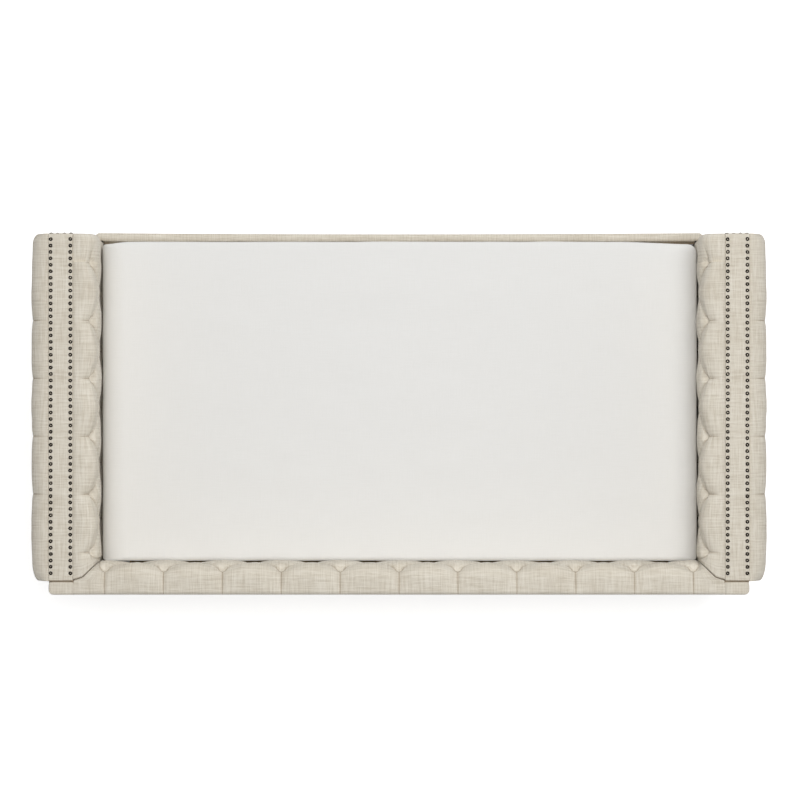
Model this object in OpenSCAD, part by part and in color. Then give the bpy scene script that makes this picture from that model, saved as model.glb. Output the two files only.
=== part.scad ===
// Tufted daybed: two rolled arms, a back, a front rail, a slatted deck and a mattress.
// The front faces -Y, the deck spans from the rail to the back, and Z is up from the floor.

/* [Mattress] */
// Length of the mattress, from arm to arm
mattress_l = 1878; // [1850:2:1900]
// Width of the mattress, from front to back
mattress_w = 1000; // [960:2:1010]
// Thickness of the mattress at its edge
mattress_t = 200; // [180:2:220]
// How far the sides of the mattress swell out
side_swell = 6; // [2:1:8]
// How far the top of the mattress is crowned
crown = 6; // [0:1:10]
// Thickness of the quilted top and sheet over the core
sheet_t = 10; // [8:1:14]

/* [Height] */
// Top of the nail band on the arms, above the floor
arm_h = 845; // [800:5:870]
// Top of the slats above the floor
deck_z = 300; // [280:5:320]
// Height of the feet
foot_h = 70; // [60:1:80]

/* [Tufting] */
// Height of the fullest puff over its buttons
tuft_h = 31; // [20:1:33]
// Distance from one row of buttons down to the next
row_gap = 88; // [80:1:92]
// Number of diamonds along the back between its outer buttons
back_pitches = 10; // [8:1:12]
// Number of diamonds along an arm
arm_pitches = 6; // [5:1:7]
// Diameter of a covered button
button_d = 25; // [20:1:28]
// How far a covered button stands out
button_h = 7; // [5:1:9]
// Thickness of the tufted layer behind its buttons
pad_t = 18; // [15:1:20]

/* [Arms] */
// Width of the flat band along the top of an arm
band_w = 74; // [66:1:84]
// Thickness of the band and its wadding
band_t = 6; // [4:1:8]
// Distance from the band's edge to the first row of buttons
arm_top_run = 50; // [44:1:56]
// Radius of the outer roll, at its pleats
roll_r = 52; // [46:1:56]
// Height of the flutes on the outer roll
flute_h = 6; // [4:1:8]
// Radius of the wooden core inside the outer roll
core_r = 28; // [22:1:30]
// Pitch of the nail heads
nail_pitch = 19.65; // [18:0.05:24]
// Diameter of a nail head
nail_d = 12; // [9:0.5:13]
// How far a nail head stands out
nail_h = 3; // [2:0.5:4]

/* [Back] */
// Depth of the back's timber frame
back_frame_d = 33; // [30:1:40]
// Distance from the back's rear edge to its first row of buttons
back_top_run = 68; // [64:1:74]

/* [Front rail] */
// Thickness of the padded front rail
rail_t = 34; // [30:1:40]
// Height of the padded front rail
rail_h = 185; // [170:5:210]
// Top of the front rail above the slats
rail_rise = 75; // [60:5:100]
// How far the rail stands in front of the arms
rail_proud = 24; // [10:1:30]

/* [Deck] */
// Number of slats
slat_n = 13; // [10:1:15]
// Width of a slat
slat_w = 70; // [60:1:80]
// Thickness of a slat
slat_t = 19; // [16:1:22]

/* [Hidden] */
$fn = 48;
fit = 0.3;             // clearance between pieces that seat on each other
over = 1;              // overrun of a cut past the face it opens
tiny = 0.001;

// timber and board
post_w = 60;           // width of the frame posts
sill_h = 95;           // height of the bottom members
plank_t = 20;          // thickness of the plank under the nail band
web_t = 3;             // thickness of the hardboard webs
skin_t = 5;            // plain cover cloth with its wadding
wall_t = 8;            // web and plain cover together, outside a frame
block_l = 80;          // length of the blocks that carry the rail and the deck
liner_t = 12;          // board lining the arm below the mattress
board_t = 22;          // timber inside the front rail
ledger_t = 35;         // square ledger under the slats
cover_r = 12;          // radius of the plain covers' corners

// tufted outline, from the top edge down: rows of buttons at 1, 2, 3 and 4
rows_n = 4;
row_drop = 20;         // the first row of buttons below the band
row_out = 15;          // second row of buttons, out from the first
hem_back = 10;         // hem, back from the first row of buttons
hem_gap = 12;          // tufting's hem above the front rail
edge_t = 12;           // pad's thickness at its top edge
core_drop = 25;        // drop of the pad's back corner below the first row
end_r = 28;            // radius of a pad's end at the front of an arm
roll_end_r = 42;       // radius of the outer roll's rear end
puff_shares = [0.3, 1, 0.48, 0.26, 0.3, 0.3];
row_turn = [90, 40, 0, -4, -4, -4];
puff_power = 0.5;
spot_rim = 4.5;        // flat ring round a button
top_rim = 1.5;         // the same above the first row
lip_share = 0.08;      // extra column near a free end, as a share of half a pitch
end_share = 0.5;       // fullness left at a pad's free end
roll_end_share = 0.25; // the same at the ends of the outer roll
mitre_share = 0.8;     // puff left where two pads meet

// gaps in plan
arm_face_gap = 3;      // mattress to the first row of buttons on an arm
back_face_gap = 12;    // mattress to the first row of buttons on the back, at the least
rail_gap = 1;          // mattress to the front rail, where the rail's rounded top begins
rail_lap = 26;         // rail's padded face, past the inner side of each arm
side_gap = 4;          // mattress to the arm below its tufting
corner_inset = 46;     // last row 1 button of the back to the arm's first row

// mattress and sheet
corner_r = 55;         // plan radius of the corners
corner_steps = 4;
hem_in = 8;            // sheet's hem, tucked under the side
hem_rise = 14;
edge_round = 30;       // rounding of the top edge
edge_shares = [[0, 0.55], [0.35, 0.13], [1, 0]];
crown_shares = [[0.12, 0.5], [0.28, 0.9], [0.44, 1]];

// smaller pieces
facing_t = 6;          // band cloth and wadding on the front of an arm
band_r = 10;           // radius where the band turns down the front
nail_in = 7;           // nail row in from the band's edge
first_nail = 18;       // first nail behind the front of the arm
top_nail = 17;         // front row of nails below the top of the arm
nail_foot = 14;        // last front nail above the bottom of the facing
hem_lift = 4;          // covers hang this far below the sill
foot_top_d = 82;       // collar under the sill
foot_waist_d = 58;     // bottom of the cove
foot_d = 76;           // widest part of the bun
foot_base_d = 50;      // base ring
foot_collar = 8;       // height of the foot's square-edged collar
foot_cove = 8;         // height of the cove under the collar
foot_in = 55;          // foot's centre in from the ends of the sill
glide_d = 34;
glide_t = 3;
stud_d = 8;            // hanger bolt in a foot, and the M8 bolts
stud_sunk = 40;        // stud's length in the foot
stud_up = 45;          // stud's length in the sill
hole_gap = 0.2;        // radial clearance of a bolt hole
cambric_t = 1;
bolt_head_d = 18;
bolt_head_t = 6;
bolt_sunk = 8;         // depth of the pocket for a bolt's head
nut_d = 11;            // barrel of a T-nut
nut_l = 12;
nut_flange_d = 22;
nut_flange_t = 1.6;
bracket_t = 3;
bracket_leg = 60;
bracket_h = 80;
bracket_bolt_gap = 44;
screw_d = 5;
screw_head_d = 10;
screw_head_t = 3;
screw_in = 36;         // bracket's screws in from its corner
insert_l = 24;         // threaded insert in the arm's block
strap_w = 30;
strap_t = 1.5;
strap_shares = [-0.3, 0.3];
slat_play = 2;         // slat's end to what it faces
slat_in = 18;          // end slat's edge in from the arm
cover_return = 20;     // rail cover's return behind the board
back_posts_n = 5;
joint_shares = [0.12, 0.8];   // heights of the bolts from arm to back, as shares of the posts

pale_linen = [0.84, 0.80, 0.71];
linen = [0.80, 0.76, 0.68];
sheet_white = [0.93, 0.93, 0.92];
bronze = [0.22, 0.18, 0.15];
espresso = [0.18, 0.11, 0.08];
pine = [0.80, 0.66, 0.46];
hardboard = [0.52, 0.37, 0.24];
foam = [0.93, 0.87, 0.62];
steel = [0.62, 0.63, 0.65];
nylon = [0.14, 0.14, 0.15];
webbing = [0.88, 0.88, 0.84];

// Plan: the first row of buttons, the timber frame and the covers.
// The mattress swells out over the rail's rounded top.
// swell_share is how much of that is beside the rail.
seat_half = mattress_l / 2 + side_swell;
bed_d = rail_t + rail_gap + mattress_w + 2 * side_swell + back_face_gap + back_top_run + web_t;
y_front = -bed_d / 2;
y_rear = bed_d / 2;
y_arm = y_front + rail_proud;
y_lined = y_arm + facing_t;
y_rail_in = y_front + rail_t;
swell_share = min(1, (rail_rise - rail_t / 2 - hem_rise) / (mattress_t / 2 - hem_rise));
y_mattress = y_rail_in + rail_gap + side_swell * swell_share + mattress_w / 2;
y_row = y_rear - web_t - back_top_run;
y_frame_rear = y_rear - wall_t;
y_frame = y_frame_rear - back_frame_d;
y_web = y_frame - web_t;
arm_l = y_frame - y_arm;
arm_halves = 2 * arm_pitches;
arm_half_pitch = arm_l / arm_halves;

x_row = seat_half + arm_face_gap;
x_lower = seat_half + side_gap;
x_liner = x_lower + skin_t;
x_pad_edge = x_row + arm_top_run;
x_band = x_pad_edge + fit;
x_band_out = x_band + band_w;
x_side = x_band_out + fit;
x_post_out = x_side - wall_t;
x_post = x_post_out - post_w;
x_web = x_post - web_t;
back_halves = back_pitches + 1;
back_half_pitch = (x_row - corner_inset) / back_pitches;

// heights
z_base = foot_h;
z_cloth = z_base - hem_lift;
z_timber = z_base + cambric_t;
z_sill = z_base + sill_h;
z_row = arm_h - row_drop;
z_edge = arm_h - band_t;
z_edge_under = z_edge - edge_t;
z_plank = z_edge - plank_t;
z_frame_top = z_edge_under - fit;
z_rail_top = deck_z + rail_rise;
z_rail = z_rail_top - rail_h;
z_hem = z_rail_top + hem_gap;
z_block_top = z_hem - 2 * fit;
z_core = z_row - core_drop;
z_roll = z_edge - roll_r;
z_cover_top = z_roll - roll_r - flute_h - fit;
z_slat = deck_z - slat_t;
z_ledger = z_slat - ledger_t;

// the front rail's board, its brackets and the ledgers behind it
rail_half = x_lower - 2 * fit;
rail_pad = (rail_t - board_t) / 2;
y_board = y_front + rail_pad;
y_board_in = y_board + board_t;
z_window = z_rail + rail_pad + cover_return;
z_bracket = z_window + fit + bracket_h / 2;
y_bracket_bolt = y_board_in + bracket_leg / 2 + facing_t;
ledger_half = rail_half - bracket_leg - slat_in;

// feet
y_front_foot = y_lined + foot_in;
y_rear_foot = y_frame - foot_in;
x_foot = (x_liner + x_post_out) / 2;

module block(a, b) { translate(a) cube(b - a); }

module along_x(x0, x1) {
    translate([x0, 0, 0]) rotate([90, 0, 90]) linear_extrude(x1 - x0) children();
}

module along_y(y0, y1) {
    translate([0, y1, 0]) rotate([90, 0, 0]) linear_extrude(y1 - y0) children();
}

module rod_x(d, x0, x1) { translate([x0, 0, 0]) rotate([0, 90, 0]) cylinder(d = d, h = x1 - x0); }

module rod_y(d, y0, y1) { translate([0, y1, 0]) rotate([90, 0, 0]) cylinder(d = d, h = y1 - y0); }

module left_side() { mirror([1, 0, 0]) children(); }

module both_sides() {
    children();
    left_side() children();
}

// a round head of diameter d that stands h above z = 0
module dome(d, h) {
    ball = (d * d / 4 + h * h) / (2 * h);
    rotate_extrude() intersection() {
        translate([0, h - ball]) circle(ball);
        square([d / 2, h]);
    }
}

// The tufted pads share one outline: w is towards the seat and z is up.
// The place k runs from the top edge at 0, through the rows of buttons, to the hem at rows_n + 1.
function at(list, k) =
    let (i = min(floor(k), len(list) - 2), f = k - i)
    list[i] * (1 - f) + list[i + 1] * f;

// From the second row the outline falls straight to the hem.
row_z = concat([for (r = [0 : rows_n - 1]) z_row - r * row_gap], [z_hem]);
row_w = [for (r = [0 : rows_n]) r == 0 ? 0
    : row_out - (row_out + hem_back) * (row_z[1] - row_z[r]) / (row_z[1] - z_hem)];

function outline(top_run, k) = [at(concat([-top_run], row_w), k), at(concat([z_edge], row_z), k)];

function outward(k) = [cos(at(row_turn, k)), sin(at(row_turn, k))];

// A row's buttons sit on a flat seat, which the first row pulls into the pad's rounded top.
function seat_ends(top_run, r, spot, spot_top) =
    [outline(top_run, r - (r == 1 ? spot_top : spot)), outline(top_run, r + spot)];

function seat(top_run, r, spot, spot_top) =
    let (e = seat_ends(top_run, r, spot, spot_top)) r == 1 ? (e[0] + e[1]) / 2 : outline(top_run, r);

function seat_turn(top_run, r, spot, spot_top) =
    let (e = seat_ends(top_run, r, spot, spot_top), d = e[0] - e[1]) atan2(d.y, d.x) - 90;

// distance from t to the nearest even number: 0 on a button's line, 1 midway between two
function off_line(t) = abs(t - 2 * round(t / 2));

function swell(x) = pow(sin(90 * min(x, 1)), puff_power);

function diamond(u, q, spot) =
    min(max(u, q), max(1 - u, 1 - q)) <= spot + tiny ? 0 : swell(abs(u - q));

// Share of the full puff at half pitch t and place k.
// Row 1 has its buttons where t plus phase is odd.
function puff(t, k, phase, spot, spot_top) =
    let (first = off_line(t + 1 + phase))
    k < 1 ? (first <= spot + tiny && k >= 1 - spot_top - tiny ? 0 : swell(first))
    : k > rows_n ? swell(off_line(t + rows_n + phase))
    : let (r = min(floor(k), rows_n - 1)) diamond(off_line(t + r + phase), k - r, spot);

function stations(spot, spot_top) = concat(
    [0, 1 - spot_top],
    [for (r = [1 : rows_n - 1]) for (f = [0, spot, 1 - spot]) r + f],
    [rows_n, rows_n + 1]);

function columns(first, last, spot) = concat(
    [for (c = [first : last - 1]) for (f = [0, spot, 1 - spot]) c + f],
    [last]);

function with_lips(ts, near, far) = concat(
    [ts[0]], near ? [ts[0] + lip_share] : [],
    [for (i = [1 : len(ts) - 2]) ts[i]],
    far ? [ts[len(ts) - 1] - lip_share] : [], [ts[len(ts) - 1]]);

// how full a pad still is at distance d from a free end that is rounded over length r
function fullness(d, r, least) = d >= r ? 1 : least + (1 - least) * sqrt(1 - pow(1 - d / r, 2));

// Where a pad stops along the mitre between an arm and the back, for its place w.
// The mitre is at 45 degrees past the first row and turns towards the corner of the band behind it.
knee = (y_web - y_row - pad_t) / (arm_top_run - pad_t);
function mitre_arm(w) = w >= -pad_t ? -w : pad_t - (w + pad_t) * knee;
function mitre_back(w) = w >= -pad_t ? -w : min(pad_t - (w + pad_t) / knee, arm_top_run);

// Closed solid between columns of outer points and columns of backing points.
// Each outer point of an end face is closed to the backing point that ties names for it;
// an end whose columns have shrunk to a line has no face, and that is what ends says.
module padded_panel(outer, backing, ties, slant, ends, flip) {
    no = len(outer[0]);
    nb = len(backing[0]);
    m = no + nb;
    last = len(outer) - 1;
    points = [for (j = [0 : last]) each concat(outer[j], [for (b = [nb - 1 : -1 : 0]) backing[j][b]])];
    function id(j, s) = j * m + s % m;
    function back_id(j, b) = j * m + m - 1 - b;
    function quad(a, b, c, d, turned) = turned ? [[a, b, c], [a, c, d]] : [[a, b, d], [b, c, d]];
    sides = [for (j = [0 : last - 1]) for (s = [0 : m - 1])
        each quad(id(j, s), id(j, s + 1), id(j + 1, s + 1), id(j + 1, s), slant[j][min(s, no - 1)])];
    function end_face(j) = [for (i = [0 : no - 2]) each concat(
        [[id(j, i), back_id(j, ties[i]), id(j, i + 1)]],
        [for (b = [ties[i] : 1 : ties[i + 1] - 1]) [id(j, i + 1), back_id(j, b), back_id(j, b + 1)]])];
    near = ends[0] ? end_face(0) : [];
    far = ends[1] ? [for (f = end_face(last)) [f[0], f[2], f[1]]] : [];
    faces = concat(sides, near, far);
    polyhedron(points, flip ? [for (f = faces) [f[0], f[2], f[1]]] : faces, convexity = 8);
}

// each quad is split along the pleat that crosses its diamond
function slants(ts, ks, phase) = [for (j = [0 : len(ts) - 2]) [for (i = [0 : len(ks) - 1])
    let (t = (ts[j] + ts[j + 1]) / 2, k = (ks[i] + ks[min(i + 1, len(ks) - 1)]) / 2)
    floor(t + floor(k) + phase) % 2 == 0]];

function ties_for(ks, limits) = [for (k = ks) len([for (l = limits) if (k > l) l])];

// arms, drawn on the +X side
arm_spot = (button_d / 2 + spot_rim) / arm_half_pitch;
arm_spot_top = (button_d / 2 + top_rim) / arm_top_run;

// past the last button's flat ring each row is fitted to the mitre
function arm_y(t, w) =
    let (whole = arm_halves - 1 + arm_spot, y = y_arm + whole * arm_half_pitch)
    t <= whole ? y_arm + t * arm_half_pitch
    : y + (y_row + mitre_arm(w) - fit - y) * (t - whole) / (1 - arm_spot);

function arm_pad_point(t, k) =
    let (mitred = t > arm_halves - arm_spot,
         pulled = k == 1 && off_line(t + 1) <= arm_spot + tiny && !mitred,
         share = mitred ? mitre_share : puff(t, k, 0, arm_spot, arm_spot_top),
         base = pad_t - 2 * fit,
         full = fullness(t * arm_half_pitch, end_r, end_share),
         lift = (base + share * tuft_h * at(puff_shares, k)) * full - base,
         p0 = pulled ? seat(arm_top_run, 1, arm_spot, arm_spot_top) : outline(arm_top_run, k),
         p = p0 + outward(k) * lift,
         w = max(p.x, -arm_top_run))
    [x_row - w, arm_y(t, w), p.y];

// the pad wraps round the front of the arm to the band, so its first column lies at the band's edge
module arm_tufting() {
    ks = stations(arm_spot, arm_spot_top);
    ts = with_lips(columns(0, arm_halves, arm_spot), true, false);
    backs = [[-arm_top_run, z_edge_under], [-pad_t, z_core], [-pad_t, z_row - 2 * row_gap], [-pad_t, z_hem]];
    y_lining = y_lined - fit;
    pad = [for (t = ts) [for (k = ks) arm_pad_point(t, k)]];
    lining = [for (t = ts) [for (b = backs) [x_row - b.x, max(arm_y(t, b.x), y_lining), b.y]]];
    wrap = [for (p = pad[0]) [x_pad_edge, y_arm, p.z]];
    wrap_lining = [for (b = backs) [x_pad_edge, y_lining, b.y]];
    color(linen) padded_panel(concat([wrap], pad), concat([wrap_lining], lining),
        ties_for(ks, [0.4, 2.5, rows_n]), slants(concat([ts[0]], ts), ks, 0), [true, true], true);
}

// the outer roll is a half tube of straight flutes, closed over its core at both ends
module arm_roll() {
    turns = [90, 62, 34, 6, -22, -50, -92];
    core_turns = [90, 44, -1, -46, -92];
    core_reach = (core_r + fit) / cos((core_turns[0] - core_turns[1]) / 2);
    whole_l = arm_l - fit;
    r0 = core_reach + fit;
    ts = with_lips(columns(0, arm_halves, arm_spot), true, true);
    function spoke(r, a, y) = [x_side + r * cos(a), y, z_roll + r * sin(a)];
    function roll_y(t) = y_arm + t / arm_halves * whole_l;
    function reach(t, a) =
        let (pleats = t > 2 && t < arm_halves - 2 ? swell(off_line(t + 1)) : 1,
             flute = flute_h * pleats * (a == turns[0] ? puff_shares[0] : 1),
             near = fullness(roll_y(t) - y_arm, end_r, roll_end_share),
             far = fullness(y_arm + whole_l - roll_y(t), roll_end_r, roll_end_share),
             full = min(near, far))
        r0 + (roll_r - r0 + flute) * full;
    function core_y(t) = min(max(roll_y(t), y_lined - fit), y_arm + whole_l - facing_t);
    rings = [for (t = ts) [for (a = turns) spoke(reach(t, a), a, roll_y(t))]];
    linings = [for (t = ts) [for (a = core_turns) spoke(core_reach, a, core_y(t))]];
    function tip(y, n) = [for (i = [1 : n]) spoke(0, 0, y)];
    outer = concat([tip(y_arm, len(turns))], rings, [tip(y_arm + whole_l, len(turns))]);
    backing = concat([tip(y_lined - fit, len(core_turns))], linings,
        [tip(y_arm + whole_l - facing_t, len(core_turns))]);
    color(linen) padded_panel(outer, backing, ties_for(-turns, [-80, -40, 10, 60]),
        slants(concat([ts[0]], ts, [arm_halves]), turns, 0), [false, false], false);
}

module arm_roll_core() {
    color(pine) along_y(y_lined, y_frame - facing_t - 2 * fit) intersection() {
        translate([x_side, z_roll]) circle(core_r);
        translate([x_post_out + web_t + fit, z_roll - core_r]) square([2 * core_r, 2 * core_r]);
    }
}

// the bolts that join the back to each arm
module bolt_heights() {
    for (s = joint_shares) translate([x_post + post_w / 2, 0, z_sill + s * (z_plank - z_sill)]) children();
}

module arm_posts() {
    y_last = y_frame - post_w;
    color(pine) difference() {
        for (y = [y_lined, (y_lined + y_last) / 2, y_last])
            block([x_post, y, z_sill], [x_post_out, y + post_w, z_plank]);
        bolt_heights() {
            rod_y(stud_d + 2 * hole_gap, y_last - over, y_frame + over);
            rod_y(nut_d + 2 * hole_gap, y_last - over, y_last + nut_l + over);
        }
    }
}

module feet_places(y) {
    both_sides() translate([x_foot, y, 0]) children();
}

module arm_sill() {
    color(pine) difference() {
        block([x_liner, y_lined, z_timber], [x_post_out, y_frame, z_sill]);
        for (y = [y_front_foot, y_rear_foot])
            translate([x_foot, y, z_base]) cylinder(d = stud_d + 2 * hole_gap, h = stud_up + over);
    }
}

module arm_plank() {
    color(pine) block([x_band, y_lined, z_plank], [x_band_out, y_frame, z_edge]);
}

module arm_web() {
    color(hardboard) block([x_web, y_lined, z_sill], [x_post, y_web - fit, z_plank]);
}

module arm_outer_board() {
    color(hardboard) block([x_post_out, y_lined, z_timber], [x_post_out + web_t, y_frame, z_plank - fit]);
}

module bracket_bolt_places() {
    for (s = [-1, 1]) translate([0, y_bracket_bolt, z_bracket + s * bracket_bolt_gap / 2]) children();
}

module arm_blocks() {
    color(pine) difference() {
        union() {
            block([x_liner, y_lined, z_sill], [x_web, y_lined + block_l, z_block_top]);
            block([x_liner, y_web - block_l, z_sill], [x_web, y_web - fit, z_block_top]);
        }
        bracket_bolt_places() {
            rod_x(nut_d + 2 * hole_gap, x_liner - over, x_liner + insert_l);
            rod_x(stud_d + 2 * hole_gap, x_liner - over, x_liner + insert_l + nut_l);
        }
    }
}

module arm_liner() {
    color(pine) block([x_liner, y_lined + block_l + fit, z_sill],
        [x_liner + liner_t, y_web - block_l - fit, z_block_top]);
}

// the slope under the pad's top run, shared by the foams behind the tufting
module arm_foam() {
    x0 = x_row + pad_t + fit;
    z1 = z_plank - fit;
    run = (z1 - z_core) * (arm_top_run - pad_t) / (z_edge_under - z_core);
    color(foam) along_y(y_lined, y_row + pad_t - fit) polygon([
        [x0, z_hem], [x0, z_core - fit], [x0 + run, z1 - fit],
        [x_web - fit, z1 - fit], [x_web - fit, z_hem]]);
}

module arm_band() {
    color(pale_linen) along_x(x_band, x_band_out) intersection() {
        union() {
            translate([y_arm, z_edge]) square([arm_l - fit, band_t]);
            translate([y_arm, z_cloth]) square([facing_t, arm_h - z_cloth]);
        }
        union() {
            translate([y_arm, z_cloth]) square([arm_l, arm_h - band_r - z_cloth]);
            translate([y_arm + band_r, z_cloth]) square([arm_l, arm_h - z_cloth]);
            translate([y_arm + band_r, arm_h - band_r]) circle(band_r);
        }
    }
}

module arm_outside_cover() {
    color(linen) block([x_post_out + web_t, y_lined, z_cloth], [x_side - fit, y_frame - fit, z_cover_top]);
}

// plain cover below the tufting, wrapped round the front to the band
module arm_lower_cover() {
    x_in = x_lower + cover_r;
    color(linen) difference() {
        translate([0, 0, z_cloth]) linear_extrude(z_block_top - z_cloth) difference() {
            union() {
                translate([x_lower, y_arm + cover_r]) square([skin_t, y_web - fit - y_arm - cover_r]);
                translate([x_in, y_arm]) square([x_band - fit - x_in, facing_t]);
                translate([x_in, y_arm + cover_r]) circle(cover_r);
            }
            translate([x_liner, y_lined]) square([x_band - x_liner, arm_l]);
        }
        bracket_bolt_places() rod_x(stud_d + 2 * hole_gap, x_lower - over, x_liner + over);
    }
}

// two rows along the band and down its front, with a row across between them
module arm_nails() {
    rows = [x_band + nail_in, x_band_out - nail_in];
    z_across = arm_h - top_nail;
    along_n = floor((arm_l - 2 * first_nail) / nail_pitch);
    down_n = floor((z_across - z_cloth - nail_foot) / nail_pitch);
    across_n = round((rows[1] - rows[0]) / nail_pitch);
    across = (rows[1] - rows[0]) / across_n;
    color(bronze) {
        for (x = rows) {
            for (i = [0 : along_n])
                translate([x, y_arm + first_nail + i * nail_pitch, arm_h]) dome(nail_d, nail_h);
            for (i = [1 : down_n])
                translate([x, y_arm, z_across - i * nail_pitch]) rotate([90, 0, 0]) dome(nail_d, nail_h);
        }
        for (i = [0 : across_n])
            translate([rows[0] + i * across, y_arm, z_across]) rotate([90, 0, 0]) dome(nail_d, nail_h);
    }
}

// a covered button that stands out along the turn of its row
module button(turn) {
    skirt = button_h / 3;
    rotate([0, 90 - turn, 0]) translate([0, 0, fit]) {
        translate([0, 0, skirt]) dome(button_d, button_h - skirt);
        cylinder(d = button_d, h = skirt);
    }
}

module arm_buttons() {
    for (r = [1 : rows_n]) for (t = [1 : arm_halves - 1]) if ((t + r) % 2 == 0) {
        p = seat(arm_top_run, r, arm_spot, arm_spot_top);
        turn = seat_turn(arm_top_run, r, arm_spot, arm_spot_top);
        color(linen) translate([x_row - p.x, arm_y(t, p.x), p.y]) mirror([1, 0, 0]) button(turn);
    }
}

// back
back_spot = (button_d / 2 + spot_rim) / back_half_pitch;
back_spot_top = (button_d / 2 + top_rim) / back_top_run;

function back_x(t, w) =
    let (whole = back_halves - 1 + back_spot, x = whole * back_half_pitch)
    abs(t) <= whole ? t * back_half_pitch
    : sign(t) * (x + (x_row + mitre_back(w) - fit - x) * (abs(t) - whole) / (1 - back_spot));

function back_pad_point(t, k) =
    let (mitred = abs(t) > back_halves - back_spot,
         pulled = k == 1 && off_line(t) <= back_spot + tiny && !mitred,
         share = mitred ? mitre_share : puff(t, k, 1, back_spot, back_spot_top),
         p0 = pulled ? seat(back_top_run, 1, back_spot, back_spot_top) : outline(back_top_run, k),
         p = p0 + outward(k) * share * tuft_h * at(puff_shares, k))
    [back_x(t, p.x), y_row - p.x, p.y];

module back_tufting() {
    ks = stations(back_spot, back_spot_top);
    ts = columns(-back_halves, back_halves, back_spot);
    backs = [[-back_top_run, z_edge_under], [y_row - y_frame, z_edge_under], [-pad_t, z_core],
        [-pad_t, z_row - 2 * row_gap], [-pad_t, z_hem]];
    color(linen) padded_panel(
        [for (t = ts) [for (k = ks) back_pad_point(t, k)]],
        [for (t = ts) [for (b = backs) [back_x(t, b.x), y_row - b.x, b.y]]],
        ties_for(ks, [0.4, 0.9, 2.5, rows_n]), slants(ts, ks, 1), [true, true], false);
}

module back_buttons() {
    for (r = [1 : rows_n]) for (t = [-back_pitches : back_pitches]) if ((t + r + 1) % 2 == 0) {
        p = seat(back_top_run, r, back_spot, back_spot_top);
        turn = seat_turn(back_top_run, r, back_spot, back_spot_top);
        color(linen) translate([t * back_half_pitch, y_row - p.x, p.y]) rotate([0, 0, -90]) button(turn);
    }
}

module back_post_places() {
    span = 2 * x_post_out - post_w;
    for (i = [0 : back_posts_n - 1]) translate([i / (back_posts_n - 1) * span - span / 2, 0, 0]) children();
}

module back_post() {
    block([-post_w / 2, y_frame, z_sill], [post_w / 2, y_frame_rear, z_plank - plank_t]);
}

module back_rails() {
    color(pine) {
        block([-x_post_out, y_frame, z_timber], [x_post_out, y_frame_rear, z_sill]);
        block([-x_post_out, y_frame, z_plank - plank_t], [x_post_out, y_frame_rear, z_frame_top]);
        difference() {
            block([-x_post_out, y_frame, z_ledger], [x_post_out, y_frame_rear, z_ledger + post_w]);
            back_post_places() back_post();
        }
    }
}

module back_posts() {
    color(pine) difference() {
        back_post_places() back_post();
        both_sides() bolt_heights() {
            rod_y(stud_d + 2 * hole_gap, y_frame - over, y_frame_rear + over);
            rod_y(bolt_head_d + 2 * hole_gap, y_frame_rear - bolt_sunk, y_frame_rear + over);
        }
    }
}

module back_web() {
    color(hardboard) block([-x_web + fit, y_web, z_sill], [x_web - fit, y_frame, z_plank - fit]);
}

module back_foam() {
    y0 = y_row + pad_t + fit;
    top = z_core - fit;
    climb = (z_edge_under - z_core) * (y_web - y0) / (y_frame - y0);
    color(foam) along_x(-x_web + fit, x_web - fit)
        polygon([[y0, z_hem], [y0, top], [y_web, top + climb / 2], [y_web, z_hem]]);
}

// plan of the back's plain cover, with rounded rear corners
module back_plan(x0, x1) {
    translate([x0, y_frame]) square([x1 - x0, y_rear - y_frame - cover_r]);
    translate([x0, y_frame]) square([x1 - x0 - cover_r, y_rear - y_frame]);
    translate([x1 - cover_r, y_rear - cover_r]) circle(cover_r);
}

module back_outside_cover() {
    color(linen) translate([0, 0, z_cloth]) linear_extrude(z_frame_top - z_cloth) difference() {
        both_sides() back_plan(0, x_side);
        translate([-x_post_out - fit, y_frame - over])
            square([2 * (x_post_out + fit), back_frame_d + over + fit]);
    }
}

// plain covered blocks that close the top of the back behind each arm
module back_end_caps() {
    color(linen) both_sides() intersection() {
        along_x(x_pad_edge, x_side) union() {
            translate([y_frame, z_frame_top]) square([y_rear - y_frame, arm_h - wall_t - z_frame_top]);
            translate([y_frame, z_frame_top]) square([y_rear - y_frame - wall_t, arm_h - z_frame_top]);
            translate([y_rear - wall_t, arm_h - wall_t]) circle(wall_t);
        }
        translate([0, 0, z_frame_top]) linear_extrude(arm_h - z_frame_top) back_plan(x_pad_edge, x_side);
    }
}

module back_bolts() {
    y_head = y_frame_rear - bolt_sunk;
    color(steel) both_sides() bolt_heights() {
        rod_y(stud_d, y_frame - post_w - nut_flange_t, y_head + tiny);
        rod_y(bolt_head_d, y_head, y_head + bolt_head_t);
    }
}

module arm_t_nuts() {
    y_nut = y_frame - post_w;
    color(steel) both_sides() bolt_heights() difference() {
        union() {
            rod_y(nut_d, y_nut - tiny, y_nut + nut_l);
            rod_y(nut_flange_d, y_nut - nut_flange_t, y_nut);
        }
        rod_y(stud_d + 2 * hole_gap, y_nut - nut_flange_t - over, y_nut + nut_l + over);
    }
}

// front rail
module rail_board() {
    color(pine)
        block([-rail_half, y_board, z_rail + rail_pad], [rail_half, y_board_in, z_rail_top - rail_pad]);
}

module rail_section() {
    r = rail_t / 2;
    translate([y_front, z_rail + rail_pad]) square([rail_t, rail_h - r - rail_pad]);
    translate([y_board, z_rail]) square([board_t, rail_pad + over]);
    translate([y_front + r, z_rail_top - r]) circle(r);
    for (y = [y_board, y_board_in]) translate([y, z_rail + rail_pad]) circle(rail_pad);
}

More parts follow.
